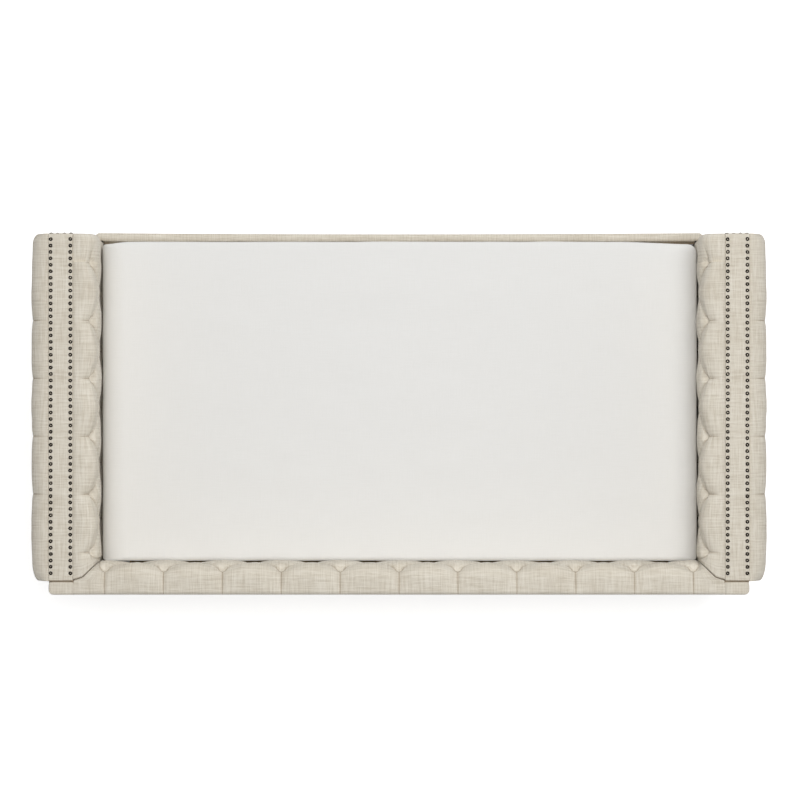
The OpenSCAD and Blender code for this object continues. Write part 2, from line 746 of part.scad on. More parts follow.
// plan of the padded face, which laps over the fronts of the arms with rounded ends
module rail_face_plan() {
    x_end = rail_half + rail_lap;
    face_t = rail_proud - fit;
    both_sides() {
        translate([0, y_front]) square([x_end - cover_r, face_t]);
        translate([0, y_front + cover_r]) square([x_end, face_t - cover_r]);
        translate([x_end - cover_r, y_front + cover_r]) intersection() {
            circle(cover_r);
            translate([-cover_r, -cover_r]) square([2 * cover_r, face_t]);
        }
    }
}

// The cover closes round the board and stops short behind it, where the ledger and brackets are fixed.
module rail_cover() {
    color(linen) difference() {
        union() {
            along_x(-rail_half, rail_half) rail_section();
            intersection() {
                along_x(-rail_half - rail_lap, rail_half + rail_lap) rail_section();
                translate([0, 0, z_rail]) linear_extrude(rail_h) rail_face_plan();
            }
        }
        along_x(-rail_half, rail_half) {
            translate([y_board, z_rail + rail_pad]) square([board_t, rail_h - 2 * rail_pad]);
            translate([y_board, z_window])
                square([rail_t, z_rail_top - rail_pad - cover_return - z_window]);
        }
    }
}

module bracket_screw_places() {
    for (s = [-1, 1]) translate([rail_half - screw_in, 0, z_bracket + s * bracket_bolt_gap / 2]) children();
}

module rail_brackets() {
    z0 = z_bracket - bracket_h / 2;
    z1 = z_bracket + bracket_h / 2;
    color(steel) both_sides() difference() {
        union() {
            block([rail_half - bracket_leg, y_board_in, z0], [rail_half, y_board_in + bracket_t, z1]);
            block([rail_half - bracket_t, y_board_in, z0], [rail_half, y_board_in + bracket_leg, z1]);
        }
        bracket_bolt_places() rod_x(stud_d + 2 * hole_gap, rail_half - bracket_t - over, rail_half + over);
        bracket_screw_places()
            rod_y(screw_d + 2 * hole_gap, y_board_in - over, y_board_in + bracket_t + over);
    }
}

module bracket_screws() {
    y0 = y_board_in + bracket_t;
    color(steel) both_sides() bracket_screw_places() {
        translate([0, y0, 0]) rotate([-90, 0, 0]) dome(screw_head_d, screw_head_t);
        rod_y(screw_d, y_board_in, y0 + tiny);
    }
}

module rail_bolts() {
    x0 = rail_half - bracket_t;
    color(steel) both_sides() bracket_bolt_places() {
        rod_x(stud_d, x0 - tiny, x_liner + insert_l);
        rod_x(bolt_head_d, x0 - bolt_head_t, x0);
    }
}

module rail_insert_nuts() {
    color(steel) both_sides() bracket_bolt_places() difference() {
        rod_x(nut_d, x_liner, x_liner + insert_l);
        rod_x(stud_d + 2 * hole_gap, x_liner - over, x_liner + insert_l + over);
    }
}

// deck
module front_ledger() {
    color(pine) block([-ledger_half, y_board_in, z_ledger], [ledger_half, y_board_in + ledger_t, z_slat]);
}

module rear_ledger() {
    color(pine) block([-ledger_half, y_web - ledger_t, z_ledger], [ledger_half, y_web, z_slat]);
}

module slats() {
    span = 2 * ledger_half - slat_w;
    color(pine) for (i = [0 : slat_n - 1]) {
        x = i / (slat_n - 1) * span - span / 2;
        block([x - slat_w / 2, y_board_in + slat_play, z_slat], [x + slat_w / 2, y_web - slat_play, deck_z]);
    }
}

module slat_straps() {
    color(webbing) for (s = strap_shares) {
        y = (y_web + y_board_in) / 2 + s * (y_web - y_board_in);
        block([-ledger_half, y - strap_w / 2, z_slat - strap_t], [ledger_half, y + strap_w / 2, z_slat]);
    }
}

// The sheet is a loft of rounded rectangles: how far each is drawn in, and its height above the deck.
rings = concat(
    [[hem_in, 0], [0, hem_rise], [-side_swell, mattress_t / 2]],
    [for (s = edge_shares) [s[0] * edge_round, mattress_t - s[1] * edge_round]],
    [for (s = crown_shares) [s[0] * mattress_w, mattress_t + s[1] * crown]]);

function ring_points(in, z) =
    let (r = max(corner_r - in, corner_r / 3), hx = mattress_l / 2 - in - r, hy = mattress_w / 2 - in - r)
    [for (q = [0 : 3]) for (s = [0 : corner_steps])
        let (a = 90 * (q + s / corner_steps), sx = q == 0 || q == 3 ? 1 : -1, sy = q < 2 ? 1 : -1)
        [sx * hx + r * cos(a), y_mattress + sy * hy + r * sin(a), deck_z + z]];

module mattress_form() {
    n = 4 * (corner_steps + 1);
    last = len(rings) - 1;
    function id(g, i) = g * n + i % n;
    polyhedron([for (g = rings) each ring_points(g[0], g[1])], concat(
        [[for (i = [0 : n - 1]) i]],
        [for (g = [0 : last - 1]) for (i = [0 : n - 1])
            each [[id(g, i), id(g + 1, i), id(g, i + 1)], [id(g, i + 1), id(g + 1, i), id(g + 1, i + 1)]]],
        [[for (i = [n - 1 : -1 : 0]) id(last, i)]]), convexity = 4);
}

module mattress_core(gap) {
    half = [mattress_l / 2 - sheet_t, mattress_w / 2 - sheet_t];
    translate([0, y_mattress, deck_z]) linear_extrude(mattress_t - sheet_t + gap) {
        square([2 * (half.x + gap), 2 * (half.y - corner_r)], center = true);
        square([2 * (half.x - corner_r), 2 * (half.y + gap)], center = true);
        for (sx = [-1, 1], sy = [-1, 1])
            translate([sx * (half.x - corner_r), sy * (half.y - corner_r)]) circle(corner_r + gap);
    }
}

module mattress() { color(sheet_white) mattress_core(0); }

module fitted_sheet() {
    color(sheet_white) difference() {
        mattress_form();
        translate([0, 0, -over]) mattress_core(fit);
        mattress_core(fit);
    }
}

// bun feet: a square-edged collar, a cove, the bun and a small base ring
module foot() {
    z_collar = foot_h - foot_collar;
    z_cove = z_collar - foot_cove;
    bun_r = (z_cove - glide_t) / 2;
    edge_r = foot_collar / 2;
    difference() {
        rotate_extrude() intersection() {
            union() {
                translate([0, z_collar]) square([foot_top_d / 2 - edge_r, foot_collar]);
                translate([foot_top_d / 2 - edge_r, z_collar + edge_r]) circle(edge_r);
                translate([0, z_cove - over]) square([foot_waist_d / 2, foot_cove + 2 * over]);
                translate([0, glide_t]) square([foot_base_d / 2, 2 * bun_r]);
                translate([foot_d / 2 - bun_r, glide_t + bun_r]) circle(bun_r);
            }
            square([foot_top_d, foot_h]);
        }
        translate([0, 0, foot_h - stud_sunk]) cylinder(d = stud_d + 2 * hole_gap, h = stud_sunk + over);
    }
}

module front_feet() { color(espresso) feet_places(y_front_foot) foot(); }

module rear_feet() { color(espresso) feet_places(y_rear_foot) foot(); }

module foot_studs() {
    color(steel) for (y = [y_front_foot, y_rear_foot]) feet_places(y)
        translate([0, 0, foot_h - stud_sunk]) cylinder(d = stud_d, h = stud_sunk + stud_up);
}

module foot_glides() {
    color(nylon) for (y = [y_front_foot, y_rear_foot]) feet_places(y) cylinder(d = glide_d, h = glide_t);
}

module dust_covers() {
    color(nylon) difference() {
        union() {
            both_sides() block([x_liner, y_lined, z_base], [x_post_out, y_frame, z_timber]);
            block([-x_post_out, y_frame, z_base], [x_post_out, y_frame_rear, z_timber]);
        }
        for (y = [y_front_foot, y_rear_foot]) feet_places(y) translate([0, 0, z_base - over])
            cylinder(d = stud_d + 2 * hole_gap, h = cambric_t + 2 * over);
    }
}

arm_posts();  // right_arm_posts
left_side() arm_posts();  // left_arm_posts
arm_sill();  // right_arm_sill
left_side() arm_sill();  // left_arm_sill
arm_plank();  // right_arm_plank
left_side() arm_plank();  // left_arm_plank
arm_web();  // right_arm_web
left_side() arm_web();  // left_arm_web
arm_outer_board();  // right_arm_outer_board
left_side() arm_outer_board();  // left_arm_outer_board
arm_roll_core();  // right_arm_roll_core
left_side() arm_roll_core();  // left_arm_roll_core
arm_blocks();  // right_arm_blocks
left_side() arm_blocks();  // left_arm_blocks
arm_liner();  // right_arm_liner
left_side() arm_liner();  // left_arm_liner
arm_foam();  // right_arm_foam
left_side() arm_foam();  // left_arm_foam
arm_tufting();  // right_arm_tufting
left_side() arm_tufting();  // left_arm_tufting
arm_roll();  // right_arm_roll
left_side() arm_roll();  // left_arm_roll
arm_band();  // right_arm_band
left_side() arm_band();  // left_arm_band
arm_outside_cover();  // right_arm_outside_cover
left_side() arm_outside_cover();  // left_arm_outside_cover
arm_lower_cover();  // right_arm_lower_cover
left_side() arm_lower_cover();  // left_arm_lower_cover
arm_nails();  // right_arm_nails
left_side() arm_nails();  // left_arm_nails
arm_buttons();  // right_arm_buttons
left_side() arm_buttons();  // left_arm_buttons
dust_covers();
arm_t_nuts();
back_rails();
back_posts();
back_web();
back_foam();
back_tufting();
back_buttons();
back_outside_cover();
back_end_caps();
back_bolts();
rail_board();
rail_cover();
rail_brackets();
rail_bolts();
rail_insert_nuts();
bracket_screws();
front_ledger();
rear_ledger();
slats();
slat_straps();
mattress();
fitted_sheet();
front_feet();
rear_feet();
foot_studs();
foot_glides();
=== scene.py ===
import math

import bmesh
import bpy
import numpy as np
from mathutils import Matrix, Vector


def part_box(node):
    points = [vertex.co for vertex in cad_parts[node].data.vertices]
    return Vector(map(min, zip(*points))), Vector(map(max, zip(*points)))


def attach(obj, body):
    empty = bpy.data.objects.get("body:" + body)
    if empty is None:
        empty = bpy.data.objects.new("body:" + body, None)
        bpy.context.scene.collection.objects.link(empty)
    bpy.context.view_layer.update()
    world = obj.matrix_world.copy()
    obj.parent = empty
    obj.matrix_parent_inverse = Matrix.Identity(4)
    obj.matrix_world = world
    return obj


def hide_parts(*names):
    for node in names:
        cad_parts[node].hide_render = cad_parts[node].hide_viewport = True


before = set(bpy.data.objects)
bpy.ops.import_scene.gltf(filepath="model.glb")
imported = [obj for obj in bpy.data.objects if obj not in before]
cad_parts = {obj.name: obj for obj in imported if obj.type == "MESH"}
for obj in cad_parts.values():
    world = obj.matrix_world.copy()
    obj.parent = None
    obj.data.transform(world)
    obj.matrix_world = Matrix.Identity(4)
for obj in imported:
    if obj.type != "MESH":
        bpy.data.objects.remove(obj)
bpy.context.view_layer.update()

# The photograph is taken from straight above the bed, about 9.7 m over the tops of the arms.
# Its frame is 800 pixels square, with the front of the bed at the top.
photo_px = 800
px_per_m = 327.0
camera_gap = 9.65
camera_x = -0.003
camera_y = -0.031
sensor = 36.0
far_clip = 100.0
arm_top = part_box("right_arm_band")[1][2]

eye = bpy.data.objects.new("eye", bpy.data.cameras.new("eye"))
eye.data.sensor_width = sensor
eye.data.lens = px_per_m * camera_gap * sensor / photo_px
eye.data.clip_end = far_clip
eye.location = (camera_x, camera_y, arm_top + camera_gap)
eye.rotation_euler = (0, 0, math.pi)
bpy.context.collection.objects.link(eye)
bpy.context.scene.camera = eye


# A plain white studio: a pale sweep of floor, walls that are palest in front of the bed and to its right
# in the picture, and one large softbox overhead.
# The floor is lifted to white for the camera and for reflections, but for the shade right under the bed.
floor_half = 30.0
floor_white = 0.85
floor_rough = 0.9
floor_gloss = 0.1
floor_lift = 0.66
shade_half = (1.10, 0.58)
shade_run = 0.05
sky_top = 0.08
sky_side = 0.72
sky_lean = (0.12, 0.30)
key_power = 427.0
key_size = 3.2
key_at = Vector((-0.65, -1.1, 8.0))


def node(tree, kind, **settings):
    made = tree.nodes.new(kind)
    for name, value in settings.items():
        setattr(made, name, value)
    return made


def wire(tree, a, out, b, into):
    tree.links.new(a.outputs[out], b.inputs[into])


def maths(tree, operation, a, b=None, c=None):
    """A Math node whose inputs are numbers or (node, output) pairs; returns such a pair."""
    made = node(tree, "ShaderNodeMath", operation=operation)
    for i, value in enumerate((a, b, c)):
        if isinstance(value, tuple):
            tree.links.new(value[0].outputs[value[1]], made.inputs[i])
        elif value is not None:
            made.inputs[i].default_value = value
    return made, 0


def new_material(name):
    material = bpy.data.materials.new(name)
    material.use_nodes = True
    tree = material.node_tree
    return material, tree, tree.nodes["Principled BSDF"]


def seen_directly(tree):
    """1 for rays from the camera, from a mirror or through glass."""
    path = node(tree, "ShaderNodeLightPath")
    return maths(tree, "MAXIMUM", (path, "Is Camera Ray"),
                 maths(tree, "MAXIMUM", (path, "Is Glossy Ray"), (path, "Is Transmission Ray")))


def studio_floor():
    material, tree, shader = new_material("floor_paper")
    shader.inputs["Base Color"].default_value = (floor_white, floor_white, floor_white, 1)
    shader.inputs["Roughness"].default_value = floor_rough
    shader.inputs["Specular IOR Level"].default_value = floor_gloss
    shader.inputs["Emission Color"].default_value = (1, 1, 1, 1)
    place = node(tree, "ShaderNodeSeparateXYZ")
    wire(tree, node(tree, "ShaderNodeTexCoord"), "Object", place, 0)
    beyond = [maths(tree, "SUBTRACT", maths(tree, "ABSOLUTE", (place, axis)), shade_half[axis])
              for axis in (0, 1)]
    clear = maths(tree, "DIVIDE", maths(tree, "ADD", maths(tree, "MAXIMUM", *beyond), shade_run), shade_run)
    clear[0].use_clamp = True
    lift = maths(tree, "MULTIPLY", maths(tree, "MULTIPLY", seen_directly(tree), clear), floor_lift)
    wire(tree, lift[0], 0, shader, "Emission Strength")
    mesh = bpy.data.meshes.new("floor")
    h = floor_half
    mesh.from_pydata([(-h, -h, 0), (h, -h, 0), (h, h, 0), (-h, h, 0)], [], [(0, 1, 2, 3)])
    mesh.materials.append(material)
    floor = bpy.data.objects.new("floor", mesh)
    bpy.context.collection.objects.link(floor)


def studio_light():
    world = bpy.data.worlds.new("studio")
    world.use_nodes = True
    tree = world.node_tree
    sky = tree.nodes["Background"]
    way = node(tree, "ShaderNodeSeparateXYZ")
    wire(tree, node(tree, "ShaderNodeTexCoord"), "Generated", way, 0)
    up = maths(tree, "MAXIMUM", (way, 2), 0.0)
    even = maths(tree, "MULTIPLY_ADD", up, sky_top - sky_side, sky_side)
    lean = maths(tree, "MULTIPLY_ADD", (way, 0), -sky_lean[0], 1.0)
    lean = maths(tree, "MULTIPLY_ADD", (way, 1), -sky_lean[1], lean)
    soft = maths(tree, "MULTIPLY", even, lean)
    to_white = maths(tree, "SUBTRACT", 1.0, soft)
    strength = maths(tree, "MULTIPLY_ADD", seen_directly(tree), to_white, soft)
    wire(tree, strength[0], 0, sky, "Strength")
    sky.inputs["Color"].default_value = (1, 1, 1, 1)
    bpy.context.scene.world = world
    lamp = bpy.data.lights.new("softbox", "AREA")
    lamp.shape = "SQUARE"
    lamp.size = key_size
    lamp.energy = key_power
    softbox = bpy.data.objects.new("softbox", lamp)
    softbox.location = key_at
    softbox.rotation_euler = (-key_at).to_track_quat("-Z", "Y").to_euler()
    softbox.visible_camera = False
    bpy.context.collection.objects.link(softbox)


studio_floor()
studio_light()
bpy.context.scene.view_settings.view_transform = "Standard"


# The frame is sawn pine: posts, sills and planks in each arm, three rails and five posts in the back,
# and the rail's board, ledgers and blocks. Bolts, glue and staples hold it together.
pine_pale = (0.64, 0.42, 0.22)
pine_dark = (0.40, 0.22, 0.10)
pine_rough = 0.62
saw_depth = 0.0006
grain_stretch = 0.06
ring_scale = 14.0
ring_wobble = 5.0
ring_detail = (3.0, 1.6)
fibre_scale = 260.0
tone_scale = 5.0
tone_low = 0.6
rough_spread = 0.08


def blend_colours(tree, factor, low, high):
    mix = node(tree, "ShaderNodeMix", data_type="RGBA")
    mix.inputs[6].default_value = (*low, 1)
    mix.inputs[7].default_value = (*high, 1)
    tree.links.new(factor[0].outputs[factor[1]], mix.inputs[0])
    return mix, 2


def noise(tree, vector, scale, detail, rough=0.5, distortion=0.0):
    made = node(tree, "ShaderNodeTexNoise")
    made.inputs["Scale"].default_value = scale
    made.inputs["Detail"].default_value = detail
    made.inputs["Roughness"].default_value = rough
    made.inputs["Distortion"].default_value = distortion
    tree.links.new(vector[0].outputs[vector[1]], made.inputs["Vector"])
    return made, 0


def stretched(tree, vector, scale):
    made = node(tree, "ShaderNodeMapping")
    made.inputs["Scale"].default_value = scale
    tree.links.new(vector[0].outputs[vector[1]], made.inputs["Vector"])
    return made, 0


def bump(tree, shader, height, distance):
    made = node(tree, "ShaderNodeBump")
    made.inputs["Distance"].default_value = distance
    made.inputs["Strength"].default_value = 1.0
    tree.links.new(height[0].outputs[height[1]], made.inputs["Height"])
    wire(tree, made, 0, shader, "Normal")


def level(tree, value, low, high, to_low=0.0, to_high=1.0):
    made = node(tree, "ShaderNodeMapRange")
    made.inputs["From Min"].default_value = low
    made.inputs["From Max"].default_value = high
    made.inputs["To Min"].default_value = to_low
    made.inputs["To Max"].default_value = to_high
    tree.links.new(value[0].outputs[value[1]], made.inputs["Value"])
    return made, 0


def timber(name, along, pale, dark, rough, depth):
    """Wood whose grain runs along an axis of the bed, 0 to 2."""
    material, tree, shader = new_material(name)
    place = (node(tree, "ShaderNodeTexCoord"), "Object")
    scale = [1.0, 1.0, 1.0]
    scale[along] = grain_stretch
    board = stretched(tree, place, scale)
    rings = node(tree, "ShaderNodeTexWave", wave_type="RINGS", rings_direction="XYZ"[along])
    rings.inputs["Scale"].default_value = ring_scale
    rings.inputs["Distortion"].default_value = ring_wobble
    rings.inputs["Detail"].default_value = ring_detail[0]
    rings.inputs["Detail Scale"].default_value = ring_detail[1]
    tree.links.new(board[0].outputs[0], rings.inputs["Vector"])
    fibre = noise(tree, board, fibre_scale, 4.0, 0.6)
    tone = noise(tree, board, tone_scale, 2.0)
    grain = maths(tree, "MULTIPLY_ADD", (rings, 1), 0.5, maths(tree, "MULTIPLY", fibre, 0.5))
    grain = maths(tree, "MULTIPLY", grain, level(tree, tone, 0.3, 0.7, tone_low, 1.0))
    colour = blend_colours(tree, grain, pale, dark)
    wire(tree, colour[0], 2, shader, "Base Color")
    roughness = level(tree, fibre, 0.3, 0.7, rough - rough_spread, rough + rough_spread)
    wire(tree, roughness[0], 0, shader, "Roughness")
    bump(tree, shader, fibre, depth)
    return material


def dress(name, material):
    """Gives a CAD node its finish."""
    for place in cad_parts[name].material_slots:
        place.material = material


pine_x, pine_y, pine_z = [
    timber(f"pine_along_{'xyz'[axis]}", axis, pine_pale, pine_dark, pine_rough, saw_depth)
    for axis in range(3)]
for side in ("right", "left"):
    dress(f"{side}_arm_posts", pine_z)
    for part in ("sill", "plank", "roll_core", "blocks", "liner"):
        dress(f"{side}_arm_{part}", pine_y)
for name in ("back_rails", "rail_board", "front_ledger", "rear_ledger"):
    dress(name, pine_x)
dress("back_posts", pine_z)


# Hardboard webs close the insides of the arms and the back, and an outer board stiffens each arm.
# It is pressed brown fibre, stapled to the posts.
hardboard_pale = (0.30, 0.17, 0.085)
hardboard_dark = (0.19, 0.10, 0.05)
hardboard_rough = 0.7
fleck_scale = 420.0
fleck_share = 0.7
fleck_depth = 0.0002
blotch_scale = 9.0


def pressed_board():
    material, tree, shader = new_material("hardboard")
    place = (node(tree, "ShaderNodeTexCoord"), "Object")
    flecks = noise(tree, place, fleck_scale, 5.0, 0.7)
    blotches = maths(tree, "MULTIPLY", noise(tree, place, blotch_scale, 2.0), 1 - fleck_share)
    mix = maths(tree, "MULTIPLY_ADD", flecks, fleck_share, blotches)
    colour = blend_colours(tree, level(tree, mix, 0.3, 0.7), hardboard_dark, hardboard_pale)
    wire(tree, colour[0], 2, shader, "Base Color")
    shader.inputs["Roughness"].default_value = hardboard_rough
    bump(tree, shader, flecks, fleck_depth)
    return material


hardboard = pressed_board()
for name in ("right_arm_web", "left_arm_web", "right_arm_outer_board", "left_arm_outer_board", "back_web"):
    dress(name, hardboard)


# Zinc-plated steel: the bolts and T-nuts that join back and arms, the rail's brackets with their
# bolts, inserts and screws, and the hanger bolts in the feet.
zinc = (0.60, 0.61, 0.62)
zinc_dull = (0.47, 0.48, 0.49)
zinc_rough = (0.28, 0.46)
spangle_scale = 160.0
spangle_depth = 0.00005


def plated_steel():
    material, tree, shader = new_material("zinc_plated_steel")
    place = (node(tree, "ShaderNodeTexCoord"), "Object")
    spangle = noise(tree, place, spangle_scale, 3.0)
    colour = blend_colours(tree, level(tree, spangle, 0.35, 0.65), zinc_dull, zinc)
    wire(tree, colour[0], 2, shader, "Base Color")
    rough = level(tree, spangle, 0.3, 0.7, *zinc_rough)
    wire(tree, rough[0], 0, shader, "Roughness")
    shader.inputs["Metallic"].default_value = 1.0
    bump(tree, shader, spangle, spangle_depth)
    return material


steel = plated_steel()
for name in ("back_bolts", "arm_t_nuts", "rail_brackets", "rail_bolts", "rail_insert_nuts",
             "bracket_screws", "foot_studs"):
    dress(name, steel)


# The four bun feet are turned hardwood, stained espresso and satin lacquered, with a square-edged
# collar, a cove and a bun. Each is screwed on with its hanger bolt and stands on a black nylon glide.
stain_light = (0.060, 0.030, 0.018)
stain_dark = (0.018, 0.010, 0.007)
stain_rough = 0.34
stain_depth = 0.0001
lacquer_weight = 0.35
lacquer_rough = 0.22
turning_steps = 64
curve_steps = 3
foot_profile_shares = [
    (0.0, 1.0), (0.90, 1.0), (0.97, 0.99), (1.0, 0.955), (1.0, 0.915), (0.97, 0.885), (0.86, 0.875),
    (0.75, 0.86), (0.71, 0.83), (0.71, 0.80), (0.76, 0.765), (0.84, 0.71), (0.905, 0.62), (0.93, 0.50),
    (0.915, 0.38), (0.86, 0.25), (0.77, 0.15), (0.66, 0.085), (0.61, 0.075), (0.61, 0.0), (0.0, 0.0)]


def finish_piece(mesh, material):
    """Puts a finished mesh into the scene as a piece that rides on the bed's one body."""
    mesh.calc_loop_triangles()
    corners = np.empty(len(mesh.loop_triangles) * 3, int)
    mesh.loop_triangles.foreach_get("vertices", corners)
    places = np.empty(len(mesh.vertices) * 3)
    mesh.vertices.foreach_get("co", places)
    a, b, c = places.reshape(-1, 3)[corners.reshape(-1, 3)].transpose(1, 0, 2)
    if np.einsum("ij,ij->", a - places[:3], np.cross(b - places[:3], c - places[:3])) < 0:
        mesh.flip_normals()
    mesh.materials.clear()
    mesh.materials.append(material)
    mesh.polygons.foreach_set("use_smooth", [True] * len(mesh.polygons))
    mesh.update()
    piece = bpy.data.objects.new(mesh.name, mesh)
    bpy.context.collection.objects.link(piece)
    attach(piece, "root")
    return piece


def smooth_curve(points, steps):
    """A centripetal curve through 2D points, ends included."""
    p = np.array([points[0], *points, points[-1]], float)
    found = []
    for i in range(1, len(p) - 2):
        for f in np.arange(steps) / steps:
            a, b, c, d = p[i - 1:i + 3]
            found.append(0.5 * (2 * b + (c - a) * f + (2 * a - 5 * b + 4 * c - d) * f ** 2
                                + (3 * b - a - 3 * c + d) * f ** 3))
    return np.array([*found, p[-1]])


def turned_feet(name):
    low, high = (np.array(corner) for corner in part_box(name))
    radius = (high[1] - low[1]) / 2
    glide_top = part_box("foot_glides")[1][2]
    height = high[2] - glide_top
    profile = smooth_curve(foot_profile_shares, curve_steps) * (radius, height) + (0, glide_top)
    profile[:, 0] = np.maximum(profile[:, 0], 0.0)
    turn = np.arange(turning_steps) / turning_steps * 2 * math.pi
    points, faces = [], []
    for x in (low[0] + radius, high[0] - radius):
        start = len(points)
        inner = profile[1:-1]
        for r, z in inner:
            points += [(x + r * math.cos(a), low[1] + radius + r * math.sin(a), z) for a in turn]
        n, rows = turning_steps, len(inner)
        for i in range(rows - 1):
            for j in range(n):
                k = (j + 1) % n
                faces.append((start + i * n + k, start + i * n + j,
                              start + (i + 1) * n + j, start + (i + 1) * n + k))
        faces.append([start + j for j in range(n)])
        faces.append([start + (rows - 1) * n + j for j in reversed(range(n))])
    mesh = bpy.data.meshes.new(name.replace("_feet", "_bun_feet"))
    mesh.from_pydata(points, [], faces)
    return mesh


stained = timber("espresso_stain", 2, stain_light, stain_dark, stain_rough, stain_depth)
stained.node_tree.nodes["Principled BSDF"].inputs["Coat Weight"].default_value = lacquer_weight
stained.node_tree.nodes["Principled BSDF"].inputs["Coat Roughness"].default_value = lacquer_rough
for name in ("front_feet", "rear_feet"):
    feet = finish_piece(turned_feet(name), stained)
    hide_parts(name)


nylon_black = (0.012, 0.012, 0.013)
nylon_grey = (0.022, 0.022, 0.024)
nylon_rough = 0.5
nylon_grain = 700.0
nylon_depth = 0.00006


def mottled(name, dark, light, rough, depth, speck, span=(0.0, 1.0)):
    """A plain material mottled by one noise, given as its scale and settings, which also marks its face."""
    material, tree, shader = new_material(name)
    place = (node(tree, "ShaderNodeTexCoord"), "Object")
    specks = noise(tree, place, *speck)
    colour = blend_colours(tree, level(tree, specks, *span), dark, light)
    wire(tree, colour[0], 2, shader, "Base Color")
    shader.inputs["Roughness"].default_value = rough
    bump(tree, shader, specks, depth)
    return material


dress("foot_glides", mottled("black_nylon", nylon_black, nylon_grey, nylon_rough, nylon_depth,
                             (nylon_grain, 2.0)))


# Thirteen planed pine slats lie on the two ledgers, and two woven straps keep them evenly apart.
# They carry the mattress between the arms, the back and the rail.
planed_pale = (0.68, 0.46, 0.25)
planed_dark = (0.45, 0.26, 0.12)
planed_rough = 0.5
planed_depth = 0.00015
strap_white = (0.66, 0.65, 0.61)
strap_shade = (0.52, 0.51, 0.47)
strap_rough = 0.85
rib_scale = 160.0
rib_wobble = 0.6
rib_depth = 0.0004


def woven_strap():
    material, tree, shader = new_material("strap_webbing")
    place = (node(tree, "ShaderNodeTexCoord"), "Object")
    ribs = node(tree, "ShaderNodeTexWave", wave_type="BANDS", bands_direction="X")
    ribs.inputs["Scale"].default_value = rib_scale
    ribs.inputs["Distortion"].default_value = rib_wobble
    tree.links.new(place[0].outputs[place[1]], ribs.inputs["Vector"])
    colour = blend_colours(tree, (ribs, 1), strap_shade, strap_white)
    wire(tree, colour[0], 2, shader, "Base Color")
    shader.inputs["Roughness"].default_value = strap_rough
    bump(tree, shader, (ribs, 1), rib_depth)
    return material


dress("slats", timber("planed_pine", 1, planed_pale, planed_dark, planed_rough, planed_depth))
dress("slat_straps", woven_strap())


# Oatmeal linen-look cloth covers the whole bed: a plain weave of uneven threads, with slubs
# that run both ways. Each piece carries a flat pattern in metres, so the threads keep their size.
linen_tone = (0.650, 0.600, 0.508)
linen_warm = (0.545, 0.488, 0.396)
linen_light = (0.738, 0.694, 0.606)
# fold_shade is painted shade: the colour that the cloth is darkened towards in its folds, slits and seams.
fold_shade = (0.44, 0.36, 0.27)
cloth_rough = 0.88
cloth_gloss = 0.25
cloth_sheen = (0.12, 0.5)
cloth_depth = 0.0006
thread_pitch = 0.0016
thread_sway = 0.003
sway_scale = 60.0
slub_run = 15.0
slub_fine = 360.0
slub_coarse = 190.0
coarse_share = 0.45
weave_share = 0.35
cloud_scale = 7.0
cloud_share = 0.25
tone_span = (0.925, 1.325)


def threads(tree, u, v, fine, seed_at):
    """Uneven threads that run along u and vary across v."""
    join = node(tree, "ShaderNodeCombineXYZ")
    join.inputs[2].default_value = seed_at
    along = maths(tree, "MULTIPLY", u, slub_run)
    across = maths(tree, "MULTIPLY", v, fine)
    wire(tree, along[0], 0, join, 0)
    wire(tree, across[0], 0, join, 1)
    return noise(tree, (join, 0), 1.0, 2.0, 0.6)


def linen(name):
    """The cloth. A piece's fold attribute paints shade into its colour in the slits of its pleats, where it
    is in shade.
    """
    material, tree, shader = new_material(name)
    pattern = node(tree, "ShaderNodeUVMap", uv_map="flat_pattern")
    split = node(tree, "ShaderNodeSeparateXYZ")
    wire(tree, pattern, 0, split, 0)
    sway = noise(tree, (pattern, 0), sway_scale, 1.0)
    drift = maths(tree, "MULTIPLY_ADD", sway, thread_sway, -thread_sway / 2)
    u = maths(tree, "ADD", (split, 0), drift)
    v = maths(tree, "ADD", (split, 1), drift)
    warp = threads(tree, u, v, slub_fine, 0.0)
    weft = threads(tree, v, u, slub_fine, 7.0)
    warp_thick = threads(tree, u, v, slub_coarse, 3.0)
    weft_thick = threads(tree, v, u, slub_coarse, 11.0)
    fine = maths(tree, "ADD", warp, weft)
    thick = maths(tree, "ADD", warp_thick, weft_thick)
    slubs = maths(tree, "MULTIPLY_ADD", thick, coarse_share, maths(tree, "MULTIPLY", fine, 1 - coarse_share))
    clouds = noise(tree, (pattern, 0), cloud_scale, 2.0)
    tone = maths(tree, "MULTIPLY_ADD", clouds, cloud_share, slubs)
    ramp = node(tree, "ShaderNodeValToRGB")
    ramp.color_ramp.elements[0].color = (*linen_warm, 1)
    ramp.color_ramp.elements[1].color = (*linen_light, 1)
    ramp.color_ramp.elements.new(0.5).color = (*linen_tone, 1)
    wire(tree, level(tree, tone, *tone_span)[0], 0, ramp, 0)
    fold = node(tree, "ShaderNodeAttribute", attribute_name="fold")
    shaded = node(tree, "ShaderNodeMix", data_type="RGBA", blend_type="MULTIPLY")
    shaded.inputs[7].default_value = (*fold_shade, 1)
    wire(tree, fold, "Fac", shaded, 0)
    wire(tree, ramp, 0, shaded, 6)
    wire(tree, shaded, 2, shader, "Base Color")
    over = [maths(tree, "SINE", maths(tree, "MULTIPLY", axis, math.pi / thread_pitch)) for axis in (u, v)]
    weave = maths(tree, "MULTIPLY", over[0], over[1])
    height = maths(tree, "MULTIPLY_ADD", weave, weave_share, slubs)
    bump(tree, shader, height, cloth_depth)
    shader.inputs["Roughness"].default_value = cloth_rough
    shader.inputs["Specular IOR Level"].default_value = cloth_gloss
    shader.inputs["Sheen Weight"].default_value = cloth_sheen[0]
    shader.inputs["Sheen Roughness"].default_value = cloth_sheen[1]
    return material


